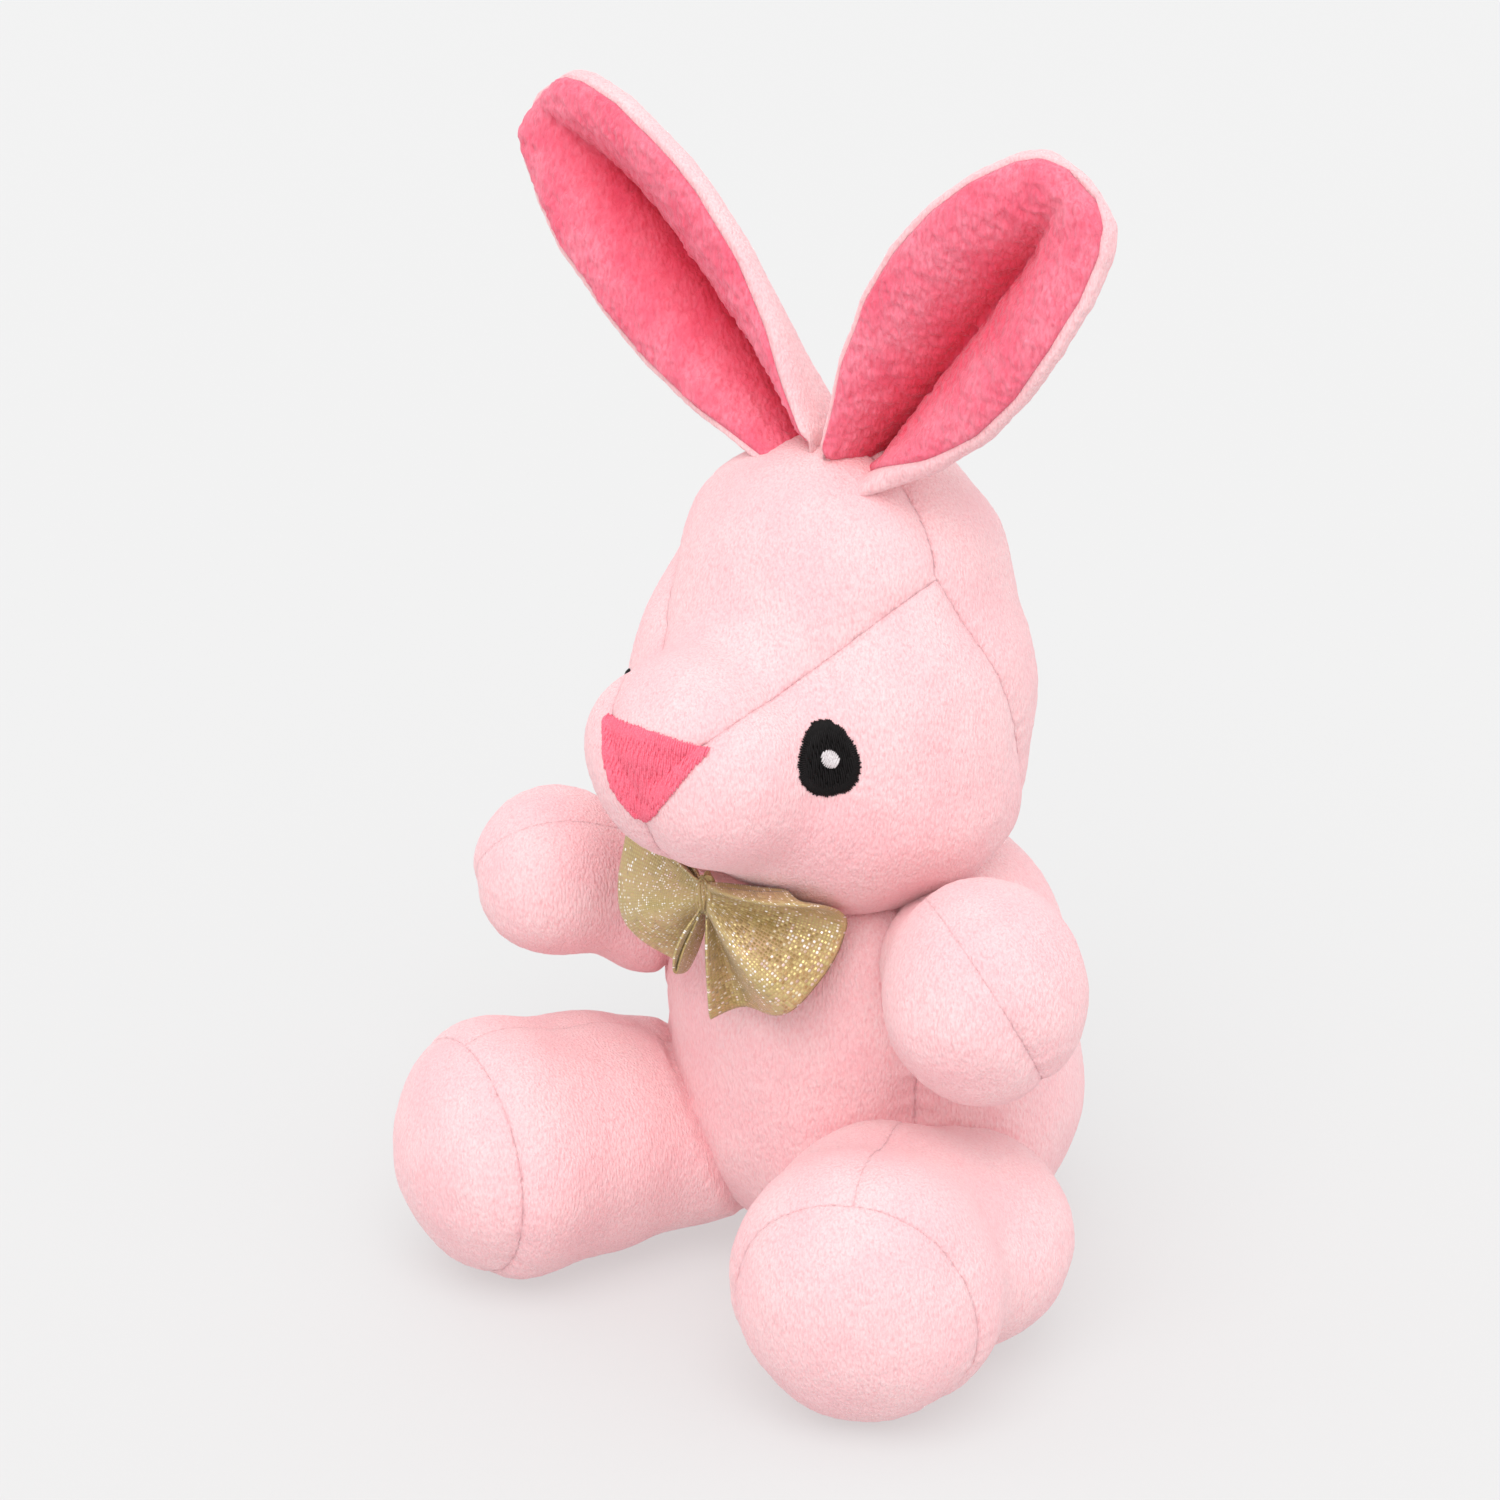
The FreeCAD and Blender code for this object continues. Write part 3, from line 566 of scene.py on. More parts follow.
torsoPanels, torsoSkin = stuffed("torso", torsoLook["balls"], torsoSeams(), torsoPanel,
                                 ["seat_panel", "belly_panel", "back_panel_left", "back_panel_right"],
                                 "torso", "torso_stuffing")
for name, part in torsoPanels.items():
    if name == "seat_panel":
        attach(part, "torso")
    else:
        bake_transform(part)

# neck: a short plug of filling between the covers
pick()
neckBall = addBall((0, 8, 89), (12.5, 12.5, 11))
neckBall.name = neckBall.data.name = "neck_fill"
raiseSkin(neckBall, 0.7 * lumps(readPoints(neckBall), 5, 4.4))
finishPiece(neckBall, fillingFibre)
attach(neckBall, "neck")
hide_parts("neck_stuffing")

# head: round at the back, drawn out to a blunt snout
headLook = {"balls": [((0, 5, 118.5), (38.8, 37.5, 37)), ((0, 7, 138), (32, 31.5, 31.5)),
                      ((0, -8, 112), (32, 28, 26)), ((0, -14, 106), (29, 23, 20)),
                      ((0, -34.5, 115.5), (23.5, 17.5, 20.5)), ((0, 4, 102), (39.2, 35.5, 25.2))],
            "seamMeet": np.array((29.3, -0.3, 148.0)), "gusset": unit((-0.657, -0.116, 0.745)),
            "backLow": 0.474, "backHigh": -0.2}


def backSeam(points):  # how far a point is behind the seam from ear to neck
    z = points[:, 2] - headLook["seamMeet"][2]
    line = headLook["seamMeet"][1] - np.where(z < 0, headLook["backLow"], headLook["backHigh"]) * z
    return points[:, 1] - line


def gussetSide(points):
    mirrored = np.column_stack([np.abs(points[:, 0]), points[:, 1:]])
    return (mirrored - headLook["seamMeet"]) @ headLook["gusset"]


def headPanel(points):
    left = points[:, 0] > 0
    front = np.where(gussetSide(points) > 0, 0, np.where(left, 1, 2))
    return np.where(backSeam(points) > 0, np.where(left, 3, 4), front)


def headSeams():
    meet, slope = headLook["seamMeet"], headLook["gusset"]
    seams = [{"point": (0, 0, 0), "normal": (1, 0, 0),
              "there": lambda p: (backSeam(p) > 0) | (gussetSide(p) < 0)},
             {"point": meet, "normal": (0, 1, headLook["backLow"]), "there": lambda p: p[:, 2] < meet[2]},
             {"point": meet, "normal": (0, 1, headLook["backHigh"]), "there": lambda p: p[:, 2] >= meet[2]}]
    for side in (1, -1):
        seams.append({"point": meet * (side, 1, 1), "normal": slope * (side, 1, 1),
                      "there": lambda p, side=side: (side * p[:, 0] > 0) & (backSeam(p) < 0)})
    return seams


headPanels, headSkin = stuffed("head", headLook["balls"], headSeams(), headPanel,
                               ["forehead_gusset", "head_side_left", "head_side_right",
                                "head_back_left", "head_back_right"],
                               "head", "head_stuffing", rounds=10)
for name, part in headPanels.items():
    if name == "forehead_gusset":
        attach(part, "head")
    else:
        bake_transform(part)


# arms and legs
torsoTree = BVHTree.FromPolygons([Vector(p) for p in torsoSkin[0]], torsoSkin[1])


def direction(forward, rise, side):
    f, r = math.radians(forward), math.radians(rise)
    return np.array((side * math.cos(f) * math.cos(r), -math.sin(f) * math.cos(r), math.sin(r)))


def acrossOf(axis):  # the level direction across an axis, and the one that stands up from it
    across = unit(np.cross((0, 0, 1), axis))
    return across, np.cross(axis, across)


def blendLimb(parts):
    for part in parts:
        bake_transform(part)


armLook = {"left": {"side": 1, "forward": 40, "rise": 10, "full": 19.3, "high": 21.3,
                    "sag": 0, "waist": 15.5},
           "right": {"side": -1, "forward": 52, "rise": 5, "full": 17, "high": 16.8,
                     "sag": 3.2, "waist": 17.8},
           "root": (29, 4, 72.5), "length": 31, "roll": 30}

for sideName in ("left", "right"):
    look = armLook[sideName]
    side = look["side"]
    root = np.array(armLook["root"]) * (side, 1, 1)
    axis = direction(look["forward"], look["rise"], side)
    across, up = acrossOf(axis)
    roll = math.radians(side * armLook["roll"])
    seamFace = across * math.cos(roll) + up * math.sin(roll)
    tip = root + axis * armLook["length"]
    balls = [(root, (14, 14, 14)), (root + axis * 13 - (0, 0, look["sag"]), (15.5, 15.5, look["waist"])),
             (tip, (look["full"], look["full"], look["high"]))]
    seams = [{"point": root, "normal": seamFace, "there": anywhere}]
    made, skin = stuffed("arm_" + sideName, balls, seams,
                         lambda p: np.where((p - root) @ seamFace * side > 0, 0, 1),
                         ["arm_outer_" + sideName, "arm_inner_" + sideName],
                         "arm_" + sideName, "arm_stuffing_" + sideName,
                         strength=lambda p: 0.15 + 0.85 * smoothStep(0.4 - (p - tip) @ up / 10),
                         voxel=2.5, rounds=6, inset=2.6, against=torsoTree)
    blendLimb(made.values())

legLook = {"left": {"side": 1, "turnOut": 25, "soleLean": 12, "hip": 8.5},
           "right": {"side": -1, "turnOut": 20, "soleLean": 4, "hip": 5},
           "root": (24, 6.234, 23), "rise": 3.6, "length": 53, "sole": 8, "foot": (26, 20.5, 26.6)}

for sideName in ("left", "right"):
    look = legLook[sideName]
    side = look["side"]
    root = np.array(legLook["root"]) * (side, 1, 1)
    axis = direction(90 - look["turnOut"], legLook["rise"], side)
    across = acrossOf(axis)[0]
    facing = direction(90 - look["turnOut"], legLook["rise"] - look["soleLean"], side)
    toe = root + axis * legLook["length"]
    sole = toe + axis * legLook["sole"]
    hip = root + axis * 24 + across * side * look["hip"]
    balls = [(root - (0, 0, 2), (24.5, 24.5, 16.5)), (root + axis * 16 - (0, 0, 2), (24.5, 24.5, 19.5)),
             (hip - (0, 0, 2), (25, 25, 20)), (root + axis * 36, (24.5, 24.5, 24)),
             (toe, legLook["foot"], (0, 0, side * look["turnOut"]))]
    seams = [{"point": root, "normal": across, "there": lambda p: (p - sole) @ facing < 0},
             {"point": sole, "normal": facing, "there": anywhere}]

    def legPanel(points):
        beside = np.where((points - root) @ across * side > 0, 0, 1)
        return np.where((points - sole) @ facing > 0, 2, beside)

    def legStrength(points):  # full at the sole and low down, weak over the thigh
        nearSole = smoothStep(1.3 - np.abs((points - sole) @ facing) / 6)
        return 0.3 + 0.7 * nearSole * smoothStep(1.2 - (points[:, 2] - 20) / 25)

    made, skin = stuffed("leg_" + sideName, balls, seams, legPanel,
                         ["leg_outer_" + sideName, "leg_inner_" + sideName, "foot_sole_" + sideName],
                         "leg_" + sideName, "leg_stuffing_" + sideName,
                         strength=legStrength, against=torsoTree)
    blendLimb(made.values())

# tail: a small pompon of the same plush
tailLow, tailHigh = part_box("tail_cover")
tailCentre = np.array((tailLow + tailHigh) / 2) / mm
tailLook = {"radius": 11.5, "tuft": 2.6, "height": 0.9}
pick()
tail = addBall(tailCentre, (tailLook["radius"],) * 3)
refine(tail, 2)
tailPoints = readPoints(tail)
tailHeight = tailLook["height"] * lumps(tailPoints, tailLook["tuft"]) + 0.6 * lumps(tailPoints, 7, 2.0)
pick(tail)
bpy.ops.object.duplicate()
tailFill = bpy.context.object
raiseSkin(tail, tailHeight)
# painted shade: darker in the dips between the pompon's tufts, through the seam attribute
writeAttribute(tail, "seam", np.clip(-tailHeight, 0, 1) * 0.5)
useModifier(tail, "SOLIDIFY", thickness=coverWall * mm, offset=-1)
tail.name = tail.data.name = "tail_cloth"
finishPiece(tail, pinkPlush)
raiseSkin(tailFill, 0.5 * tailHeight - 2.6)
tailFill.name = tailFill.data.name = "tail_fill"
finishPiece(tailFill, fillingFibre)
for part, slotName, node in ((tail, "pink_plush", "tail_cover"),
                             (tailFill, "polyester_fibre", "tail_stuffing")):
    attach(part, "torso")
    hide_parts(node)
print("tail made")

# ears: two panels sewn round the edge, padded at the rim and folded in at the foot
earLook = {"reach": [0, 0.035, 0.1, 0.25, 0.4, 0.55, 0.7, 0.82, 0.92, 0.97, 1],
           "half": [0.6, 6, 8.6, 14.2, 17.8, 19.2, 18.4, 16.2, 12.6, 9.2, 0.6],
           "cup": 11, "footCup": 3, "footReach": 0.22, "rim": 6.6, "backRim": 0.45, "core": 1.3, "wall": 0.55,
           "sunk": 12, "bend": 3.0, "edgeTurn": 22.5, "ends": (0.02, 0.985),
           "left": {"side": 1, "lean": 37, "inward": 1.5, "length": 79.5, "sweep": 0, "foldOver": (1.0, 0.1)},
           "right": {"side": -1, "lean": 48, "inward": 8.5, "length": 93, "sweep": 7.5, "foldOver": (0.4, 0.45)}}


def earSurface(sphere, side, lean, root, look, fill=1.0):
    share = 1 - np.arccos(np.clip(sphere[:, 2], -1, 1)) / np.pi
    along = share + 0.1 * np.sin(2 * np.pi * share) / (2 * np.pi)
    if fill < 1:
        along = 0.08 + 0.85 * along
    turn = np.arctan2(sphere[:, 1], sphere[:, 0])
    front, angle = turn < 0, np.abs(turn)
    mark, quarter = math.radians(earLook["edgeTurn"]), np.pi / 2
    foot = bell(along, earLook["footReach"])
    wrapped = mark + np.where(np.cos(angle) > 0, *look["foldOver"]) * foot  # outer panel folds round the foot
    fromEdge = np.where(angle > quarter, np.pi - angle, angle)
    warped = np.where(fromEdge < mark, fromEdge * wrapped / mark,
                      wrapped + (fromEdge - mark) * (quarter - wrapped) / (quarter - mark))
    warped = np.where(angle > quarter, np.pi - warped, warped)
    angle = np.where(front, warped, angle)
    across = np.cos(angle)
    width = np.interp(along, earLook["reach"], earLook["half"])
    if fill < 1:
        across *= 0.88 * np.clip(4 * share * (1 - share), 0, 1) ** 0.4
    fade = smoothStep((1 - along) / 0.34)
    cup = earLook["cup"] * fade + earLook["footCup"] * foot
    middle = cup * (1 - np.abs(across) ** 1.1)
    lobe = np.sqrt(np.clip(1 - ((np.abs(across) - 0.52) / 0.52) ** 2, 0, 1))  # a full roll along each edge
    rim = earLook["rim"] * (lobe * fade + 0.55 * (1 - fade))
    rim = np.where(front, rim, earLook["backRim"] * rim)
    ends = smoothStep(np.minimum(along, 1 - along) / 0.07 + 0.2)
    thick = (earLook["core"] + rim) * fill * np.clip(np.sin(angle) * 1.15, 0, 1) ** 0.6 * ends
    depth = middle - cup * 0.6 + np.where(front, -thick, thick)
    upward = unit((side * math.sin(lean), 0, math.cos(lean)))
    sideways = unit((side * math.cos(lean), 0, -math.sin(lean)))
    bend = earLook["bend"] * (along - 0.3) ** 2
    aside = width * across + look["sweep"] * np.maximum(0, along - 0.62) ** 1.4 / 0.26
    placed = root + np.outer(along * look["length"] - earLook["sunk"], upward) + np.outer(aside, sideways)
    # the second value marks the trough down the middle of the inner panel, for painted shade there
    return placed + np.outer(depth + bend, (0, 1, 0)), np.where(front, fade, 0) * bell(across, 0.3)


for sideName in ("left", "right"):
    look = earLook[sideName]
    side, lean = look["side"], math.radians(look["lean"])
    joint = next(j for j in frame["joints"] if j["name"] == f"ear_{sideName}_fold")
    root = np.array(joint["pos_m"]) / mm - np.array((side * look["inward"], 0, 0))
    ear = addSphere(96, 96)
    sphere = readPoints(ear) * mm
    earPoints, fold = earSurface(sphere, side, lean, root, look)
    writePoints(ear, earPoints)
    # painted shade down the trough of the inner panel
    writeAttribute(ear, "fold", fold)
    corners = np.array([np.mean([sphere[v] for v in p.vertices], axis=0) for p in ear.data.polygons])
    faceTurn = np.degrees(np.arctan2(corners[:, 1], corners[:, 0]))
    inner = (faceTurn < -earLook["edgeTurn"]) & (faceTurn > earLook["edgeTurn"] - 180)
    faceAlong = 1 - np.arccos(np.clip(corners[:, 2] / np.linalg.norm(corners, axis=1), -1, 1)) / np.pi
    inner &= (faceAlong > earLook["ends"][0]) & (faceAlong < earLook["ends"][1])
    ear.data.polygons.foreach_set("material_index", inner.astype(np.int32))
    ear.name = "ear_" + sideName
    turnOutward(ear)
    refine(ear, 1)
    panels = readWhole(ear.data.polygons, "material_index")
    tree = pointTree(seamPoints(ear, panels))
    points = readPoints(ear)
    gap = np.array([tree.find(p)[2] for p in points])
    onRose = np.zeros(len(points))  # 1 where a corner touches the inner panel
    panelOfLoop = np.repeat(panels, readWhole(ear.data.polygons, "loop_total"))
    np.maximum.at(onRose, readWhole(ear.data.loops, "vertex_index"), panelOfLoop.astype(float))
    height = -0.5 * bell(gap, 0.7) + 0.35 * lumps(points, 11, 6.0)
    pile = 0.5 * lumps(points, 1.9, 3.0) + 0.4 * lumps(points, 1.05, 8.0)
    height += onRose * smoothStep(gap / 1.2) * pile + (1 - onRose) * 0.15 * lumps(points, 1.3, 2.2)
    raiseSkin(ear, height)
    # painted shade along the groove of the ear's edge seam, through the seam attribute
    writeAttribute(ear, "seam", bell(gap, 0.6))
    made = splitPanels(ear, panels, ["ear_outer_" + sideName, "ear_inner_" + sideName], pinkPlush,
                       earLook["wall"])
    made["ear_inner_" + sideName].data.materials[0] = rosePlush
    upward = unit((side * math.sin(lean), 0, math.cos(lean)))
    for panel, part in made.items():
        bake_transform(part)
        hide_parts(panel)
    padding = addSphere(48, 48)
    writePoints(padding, earSurface(readPoints(padding) * mm, side, lean, root, look, fill=0.3)[0])
    padding.name = padding.data.name = "ear_padding_" + sideName + "_wad"
    turnOutward(padding)
    finishPiece(padding, waddingFibre)
    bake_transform(padding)
    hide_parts("ear_padding_" + sideName)
    print(f"ear_{sideName} made, {sum(len(p.data.polygons) for p in made.values())} faces")

# embroidery: single stitches laid on the head's own surface
skinTree = BVHTree.FromPolygons([Vector(p) for p in headSkin[0]], headSkin[1])


def skinPoint(point, aim):  # where a line from outside meets the head, in millimetres
    place, normal = skinTree.ray_cast(Vector(point) - Vector(aim) * 60, Vector(aim))[:2]
    if place is None:
        place, normal = skinTree.find_nearest(Vector(point))[:2]
    if normal.dot(Vector(aim)) > 0:
        normal = -normal
    return np.array(place), np.array(normal)


def layStitch(stitch, start, end, aim, radius, lift):
    template = readPoints(stitch) * mm
    share = (template[:, 2] + 1) / 2
    ring = np.sqrt(np.clip(1 - template[:, 2] ** 2, 0, 1)) ** 0.6
    around = np.arctan2(template[:, 1], template[:, 0])
    spots = np.linspace(0, 1, 6)
    laid = [skinPoint(start * (1 - s) + end * s, aim) for s in spots]
    line = np.array([p + n * (lift + radius * 0.9 * math.sin(math.pi * s) ** 0.5)
                     for (p, n), s in zip(laid, spots)])
    normals = np.array([n for p, n in laid])
    path = np.column_stack([np.interp(share, spots, line[:, i]) for i in range(3)])
    normal = np.column_stack([np.interp(share, spots, normals[:, i]) for i in range(3)])
    along = unit(line[-1] - line[0])
    across = np.cross(normal, along)
    across /= np.linalg.norm(across, axis=1, keepdims=True)
    outline = np.cos(around)[:, None] * across + 0.85 * np.sin(around)[:, None] * normal
    placed = path + radius * ring[:, None] * outline
    copy = bpy.data.objects.new("stitch", stitch.data.copy())
    bpy.context.scene.collection.objects.link(copy)
    writePoints(copy, placed)
    return copy


def joinAs(name, parts, material, node, body):
    pick(*parts)
    bpy.ops.object.join()
    obj = bpy.context.object
    obj.name = obj.data.name = name
    turnOutward(obj)
    finishPiece(obj, material)
    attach(obj, body)
    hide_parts(node)
    return obj


def underlay(spread, aim, lift):  # a thin patch beneath the stitches; spread(u, v) shapes a square
    patch = addGrid(26, 26)
    placed = []
    for u, v in readPoints(patch)[:, :2] * mm:
        point, normal = skinPoint(spread(u, v), aim)
        placed.append(point + normal * lift)
    writePoints(patch, placed)
    useModifier(patch, "SOLIDIFY", thickness=0.4 * mm, offset=0)
    return patch


def makeRows(bottomOf, topOf, low, high, pitch, length, jag):
    # columns of running stitches, each column broken at its own places, ends left a little uneven
    rows = []
    for index, u in enumerate(np.arange(low, high, pitch)):
        bottom, top = bottomOf(u) - draws.uniform(0, jag), topOf(u) + draws.uniform(0, jag)
        if top - bottom < 0.5:
            continue
        cuts = [top]
        step = top - length * (0.45 + 0.55 * ((index * 0.618) % 1))
        while step > bottom + 0.9:
            cuts.append(step)
            step -= length * draws.uniform(0.85, 1.15)
        cuts.append(bottom)
        rows += [(u, a, b) for a, b in zip(cuts[:-1], cuts[1:])]
    return rows


stitchModel = addSphere(6, 8)
stitchModel.name = "stitch"
noseLook = {"half": 13.2, "top": 126.0, "drop": 17.6, "pitch": 0.42, "radius": 0.26, "length": 4.6,
            "jag": 0.35, "lift": 0.18, "margin": 0.5}


def noseTop(x):
    return noseLook["top"] - 1.9 * (abs(x) / noseLook["half"]) ** 2


def noseBottom(x):
    return noseLook["top"] - noseLook["drop"] + (noseLook["drop"] - 1.5) * min(1, abs(x) / noseLook["half"]) ** 1.6


def nosePlace(x, z):
    share = (noseLook["top"] - z) / noseLook["drop"]
    return np.array((x * (1 - 0.12 * share), -40.0, z))


def nosePatch(u, v):
    x = u * (noseLook["half"] - noseLook["margin"])
    low, high = noseBottom(x), noseTop(x)
    return nosePlace(x, low + 0.3 + (v + 1) / 2 * max(0.05, high - low - noseLook["margin"]))


noseAim = (0, 1, 0)
noseParts = [underlay(nosePatch, noseAim, 0.1)]
for x, top, bottom in makeRows(noseBottom, noseTop, -noseLook["half"] + 0.2, noseLook["half"],
                               noseLook["pitch"], noseLook["length"], noseLook["jag"]):
    end = nosePlace(x + draws.uniform(-0.06, 0.06), bottom - 0.25)
    noseParts.append(layStitch(stitchModel, nosePlace(x, top), end, noseAim, noseLook["radius"],
                               noseLook["lift"]))
joinAs("nose_embroidery_thread", noseParts, roseThread, "nose_embroidery", "head")
print("nose stitched,", len(noseParts), "stitches")

eyeLook = {"halfWide": 5.9, "halfHigh": 7.0, "centre": (22.7, -25.3, 119.4), "facing": 41,
           "apart": {"left": (0, 0, 0), "right": (3.0, 3.7, -3.5)}, "pitch": 0.4, "radius": 0.25, "length": 4.2,
           "jag": 0.2, "margin": 0.5, "inside": 0.82, "border": 2.3 / 6.6, "borderTurn": 0.062, "highlight": 1.75}

for sideName, side in (("left", 1), ("right", -1)):
    turn = math.radians(eyeLook["facing"])
    outward = unit((side * math.cos(turn), -math.sin(turn), 0.05))
    centre = (np.array(eyeLook["centre"]) + np.array(eyeLook["apart"][sideName])) * (side, 1, 1)
    upward = np.array((0, 0, 1.0))
    sideways = unit(np.cross(upward, outward)) * side  # away from the nose
    aim = tuple(-outward)

    def eyePlace(u, v):
        lean = 0.1 * v
        return centre + sideways * (u * (1 - 0.022 * v) - lean) + upward * v

    def eyeEdge(u):
        return eyeLook["halfHigh"] * math.sqrt(max(0, 1 - (u / eyeLook["halfWide"]) ** 2))

    def eyePatch(u, v):
        x, y = u * math.sqrt(1 - v * v / 2), v * math.sqrt(1 - u * u / 2)
        return eyePlace(x * (eyeLook["halfWide"] - eyeLook["margin"]),
                        y * (eyeLook["halfHigh"] - eyeLook["margin"]))

    def innerEdge(u):
        return eyeLook["inside"] * eyeEdge(u / eyeLook["inside"])

    parts = [underlay(eyePatch, aim, 0.1)]
    innerHalf = eyeLook["halfWide"] * eyeLook["inside"]
    for u, top, bottom in makeRows(lambda u: -innerEdge(u), innerEdge, -innerHalf, innerHalf,
                                   eyeLook["pitch"], eyeLook["length"], eyeLook["jag"]):
        parts.append(layStitch(stitchModel, eyePlace(u, top), eyePlace(u, bottom - 0.2), aim,
                               eyeLook["radius"], 0.2))
    for angle in np.arange(0, 2 * math.pi, eyeLook["borderTurn"]):  # a border of stitches across the rim
        reach = 1 + draws.uniform(-0.02, 0.045)
        inner = 1 - eyeLook["border"] + draws.uniform(-0.05, 0.05)
        c, s = math.cos(angle) * eyeLook["halfWide"], math.sin(angle) * eyeLook["halfHigh"]
        slant = 0.25 * s / eyeLook["halfHigh"]
        parts.append(layStitch(stitchModel, eyePlace(c * inner + slant, s * inner),
                               eyePlace(c * reach, s * reach), aim, eyeLook["radius"], 0.12))
    joinAs("eye_" + sideName + "_thread", parts, blackThread, "eye_" + sideName, "head")
    shine = []
    bright = eyeLook["highlight"]  # half its size; its stitches slant across the eye
    for step in np.arange(-bright, bright + 0.01, 0.4):
        reach = math.sqrt(max(0, 1 - (step / (bright + 0.15)) ** 2)) * bright
        u, v = 0.3 + step * 0.8, 0.1 - step * 0.55
        shine.append(layStitch(stitchModel, eyePlace(u - reach * 0.55, v - reach * 0.8),
                               eyePlace(u + reach * 0.55, v + reach * 0.8), aim, 0.27, 0.55))
    joinAs("eye_highlight_" + sideName + "_thread", shine, whiteThread,
           "eye_highlight_" + sideName, "head")
print("eyes stitched")

# bow: a looped wing each side, gathered at the middle
bowLook = {"pinch": np.array((0, -33.0, 87.5)), "gather": 6.5, "thick": 0.45, "loop": 2.2, "cloth": (44, 22),
           "left": {"edge": [(1.2, -32, 63.5), (9, -29.5, 64.5), (17, -26, 69), (22, -22, 76),
                             (23.5, -20, 84), (20, -22, 89), (14, -25, 91)],
                    "waves": 2.1, "start": 0.2, "high": 4.8},
           "right": {"edge": [(-3, -33.5, 72.5), (-7.5, -33, 69), (-12, -32.5, 73.5), (-18, -31.5, 79),
                              (-22.5, -30.5, 86), (-25, -29.5, 95), (-16, -28.5, 94)],
                     "waves": 1.8, "start": 0.05, "high": 3.8}}


def wing(sideName, look):
    obj = addGrid(90, 120)
    flat = readPoints(obj) * mm
    fan, reach = (flat[:, 0] + 1) / 2, flat[:, 1]
    outward = 1 - np.abs(reach)
    edge = np.array(look["edge"], float)
    stops, fine = np.linspace(0, 1, len(edge)), np.linspace(0, 1, 60)
    knots = np.column_stack([np.interp(fine, stops, edge[:, i]) for i in range(3)])
    for turn in range(12):
        knots[1:-1] = (knots[:-2] + 2 * knots[1:-1] + knots[2:]) / 4
    rim = np.column_stack([np.interp(fan, fine, knots[:, i]) for i in range(3)])
    gathered = bowLook["pinch"] + np.outer(fan - 0.5, (0, 0, bowLook["gather"]))
    gathered = gathered + np.array((0.8 * np.sign(edge[3][0]), 0, 0))  # just beside the knot
    spread = outward ** 0.92
    base = gathered * (1 - spread[:, None]) + rim * spread[:, None]
    face = unit(np.cross(edge[0] - bowLook["pinch"], edge[4] - bowLook["pinch"]))
    if face[1] > 0:
        face = -face
    wave = np.cos(2 * np.pi * (look["waves"] * fan + look["start"] + 0.12 * np.sin(5 * fan)))
    swell = np.sin(np.pi * np.clip(outward, 0, 1) ** 0.8 * 0.62)
    gape = bowLook["loop"] * np.sin(np.pi * np.clip(outward, 0, 1) ** 0.7 * 0.93) ** 0.8 / 2
    layer = np.sign(reach + 1e-9) * np.minimum(1, np.abs(reach) / 0.05) ** 0.5
    height = look["high"] * wave * swell + layer * gape + 0.3 * lumps(base, 7, 1.0) * swell
    writePoints(obj, base + np.outer(height, face))
    obj.name = obj.data.name = "bow_wing_" + sideName + "_cloth"
    layerUv = obj.data.uv_layers.get("cloth") or obj.data.uv_layers.new(name="cloth")
    writeUv(obj, layerUv, [fan * bowLook["cloth"][0], reach * bowLook["cloth"][1]])
    useModifier(obj, "SOLIDIFY", thickness=bowLook["thick"] * mm, offset=0)
    finishPiece(obj, goldCloth)
    return obj


for sideName in ("left", "right"):
    obj = wing(sideName, bowLook[sideName])
    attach(obj, "torso")
    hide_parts("bow_wing_" + sideName)

pick()
knot = addBall(bowLook["pinch"] + (0, 1.2, 0.5), (1.9, 2.1, 4.2))
refine(knot, 1)
knotPoints = readPoints(knot)
turnRound = np.arctan2(knotPoints[:, 0], -(knotPoints[:, 1] - bowLook["pinch"][1]))
knotHeight = 0.35 * np.cos(7 * turnRound + 0.3 * (knotPoints[:, 2] - 84)) + 0.3 * lumps(knotPoints, 2.5)
raiseSkin(knot, knotHeight)
knot.name = knot.data.name = "bow_pinch_cloth"
knotUv = knot.data.uv_layers.active or knot.data.uv_layers.new(name="cloth")
knotUv.name = "cloth"
writeUv(knot, knotUv, [turnRound * 2.8, knotPoints[:, 2]])
finishPiece(knot, goldCloth)
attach(knot, "torso")
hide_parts("bow_pinch")

tackLow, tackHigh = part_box("bow_tack")
tackCentre = np.array((tackLow + tackHigh) / 2) / mm
pick()
tacks = []
for offset in (-1.0, 0.0, 1.0):
    bpy.ops.mesh.primitive_torus_add(
        location=Vector(tackCentre + (offset, 0, 0)) * mm, rotation=(0, math.radians(90), 0),
        major_radius=1.5 * mm, minor_radius=0.28 * mm, major_segments=32, minor_segments=8)
    bpy.ops.object.transform_apply(location=True, rotation=True, scale=True)
    tacks.append(bpy.context.object)
pinkThread = thread("pinkPolyesterThread", "#f3a9b2", "#e58c97", 0.15)
joinAs("bow_tack_thread", tacks, pinkThread, "bow_tack", "torso")
bpy.data.objects.remove(stitchModel)
print("bow made")

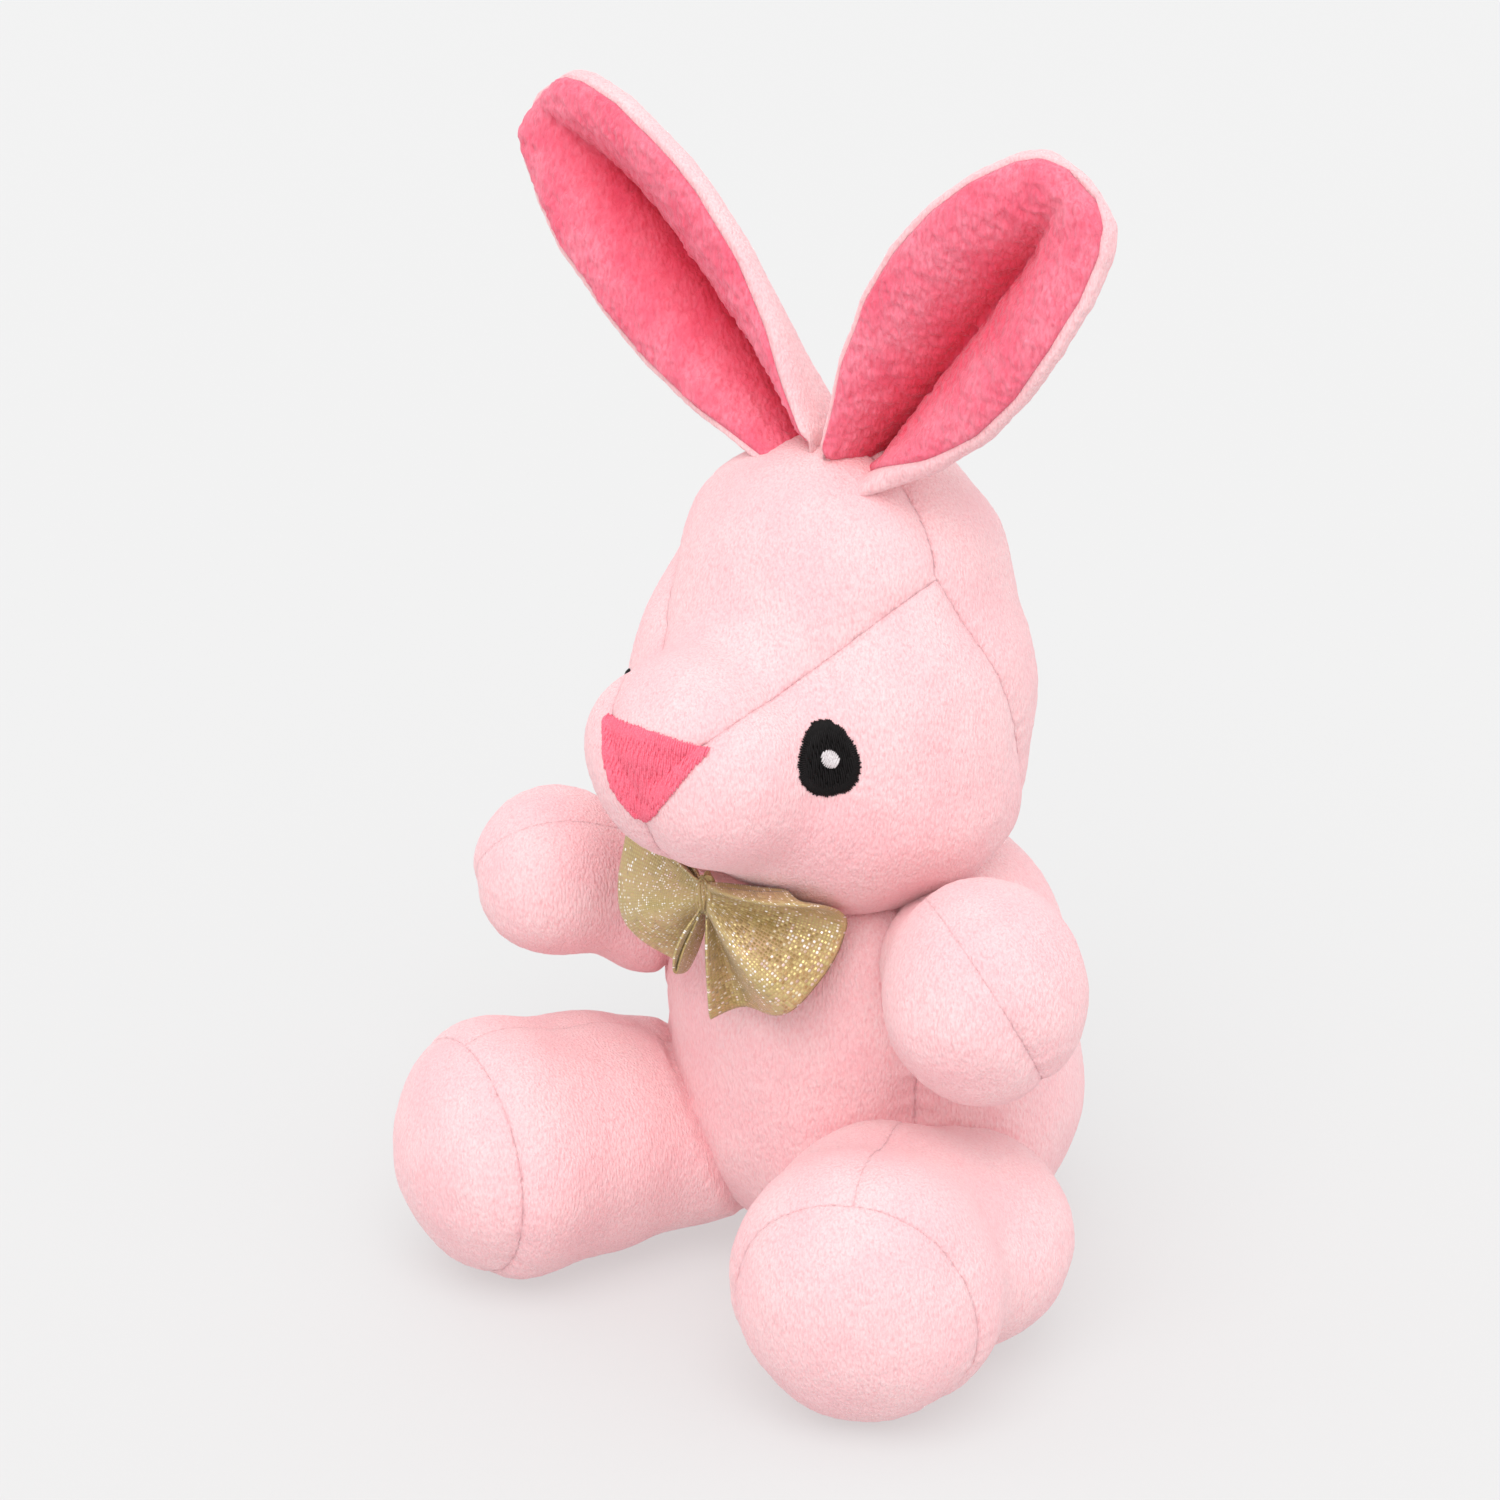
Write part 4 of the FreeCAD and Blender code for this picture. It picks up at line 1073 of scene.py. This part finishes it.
# floor, light and camera
stageLook = {"floor": "#8f8f8f", "half": 20.0, "sky": 1.0, "glow": 0.485}
pick()
bpy.ops.mesh.primitive_plane_add(size=stageLook["half"] * 2, location=(0, 0, 0))
floor = bpy.context.object
floor.name = "floor"
paper, tree = newMaterial("backdropPaper")  # matt seamless paper: even and pale, with a fine tooth
place = addNode(tree, "TexCoord").outputs["Object"]
tooth = noiseOf(tree, place, 1.5, Detail=2.0)
addSurface(tree, {"Base Color": colour(stageLook["floor"]), "Roughness": 0.9, "Specular IOR Level": 0.1,
                  "Normal": bumpOf(tree, tooth, 0.05, 0.05),
                  "Emission Color": colour("#ffffff"), "Emission Strength": stageLook["glow"]})
floor.data.materials.append(paper)

world = bpy.data.worlds.new("studio")
world.use_nodes = True
world.node_tree.nodes.clear()
sky = addNode(world.node_tree, "Background", {"Color": colour("#ffffff"), "Strength": stageLook["sky"]})
addNode(world.node_tree, "OutputWorld", {"Surface": sky.outputs["Background"]})
bpy.context.scene.world = world
bpy.context.scene.view_settings.view_transform = "Standard"


def addSun(name, fromSide, strength, softness):  # a far softbox, so the light is even over the floor
    light = bpy.data.lights.new(name, "SUN")
    light.energy, light.angle = strength, math.radians(softness)
    lamp = bpy.data.objects.new(name, light)
    bpy.context.scene.collection.objects.link(lamp)
    lamp.rotation_euler = Vector(fromSide).to_track_quat("Z", "Y").to_euler()
    return lamp


addSun("keySoftbox", (0.35, -0.6, 1.0), 1.48, 50)
addSun("fillSoftbox", (1.0, -0.35, 0.7), 0.3, 70)

cameraLook = {"azimuth": 40, "elevation": 22, "far": 0.86, "target": Vector((0, -0.0195, 0.1128)),
              "lens": 111.5, "sensor": 36}
azimuth, elevation = math.radians(cameraLook["azimuth"]), math.radians(cameraLook["elevation"])
level = math.cos(elevation)
back = Vector((math.sin(azimuth) * level, -math.cos(azimuth) * level, math.sin(elevation)))
camera = bpy.data.objects.new("camera", bpy.data.cameras.new("camera"))
bpy.context.scene.collection.objects.link(camera)
camera.location = cameraLook["target"] + back * cameraLook["far"]
camera.rotation_euler = back.to_track_quat("Z", "Y").to_euler()
camera.data.lens, camera.data.sensor_width = cameraLook["lens"], cameraLook["sensor"]
bpy.context.scene.camera = camera

print("done")
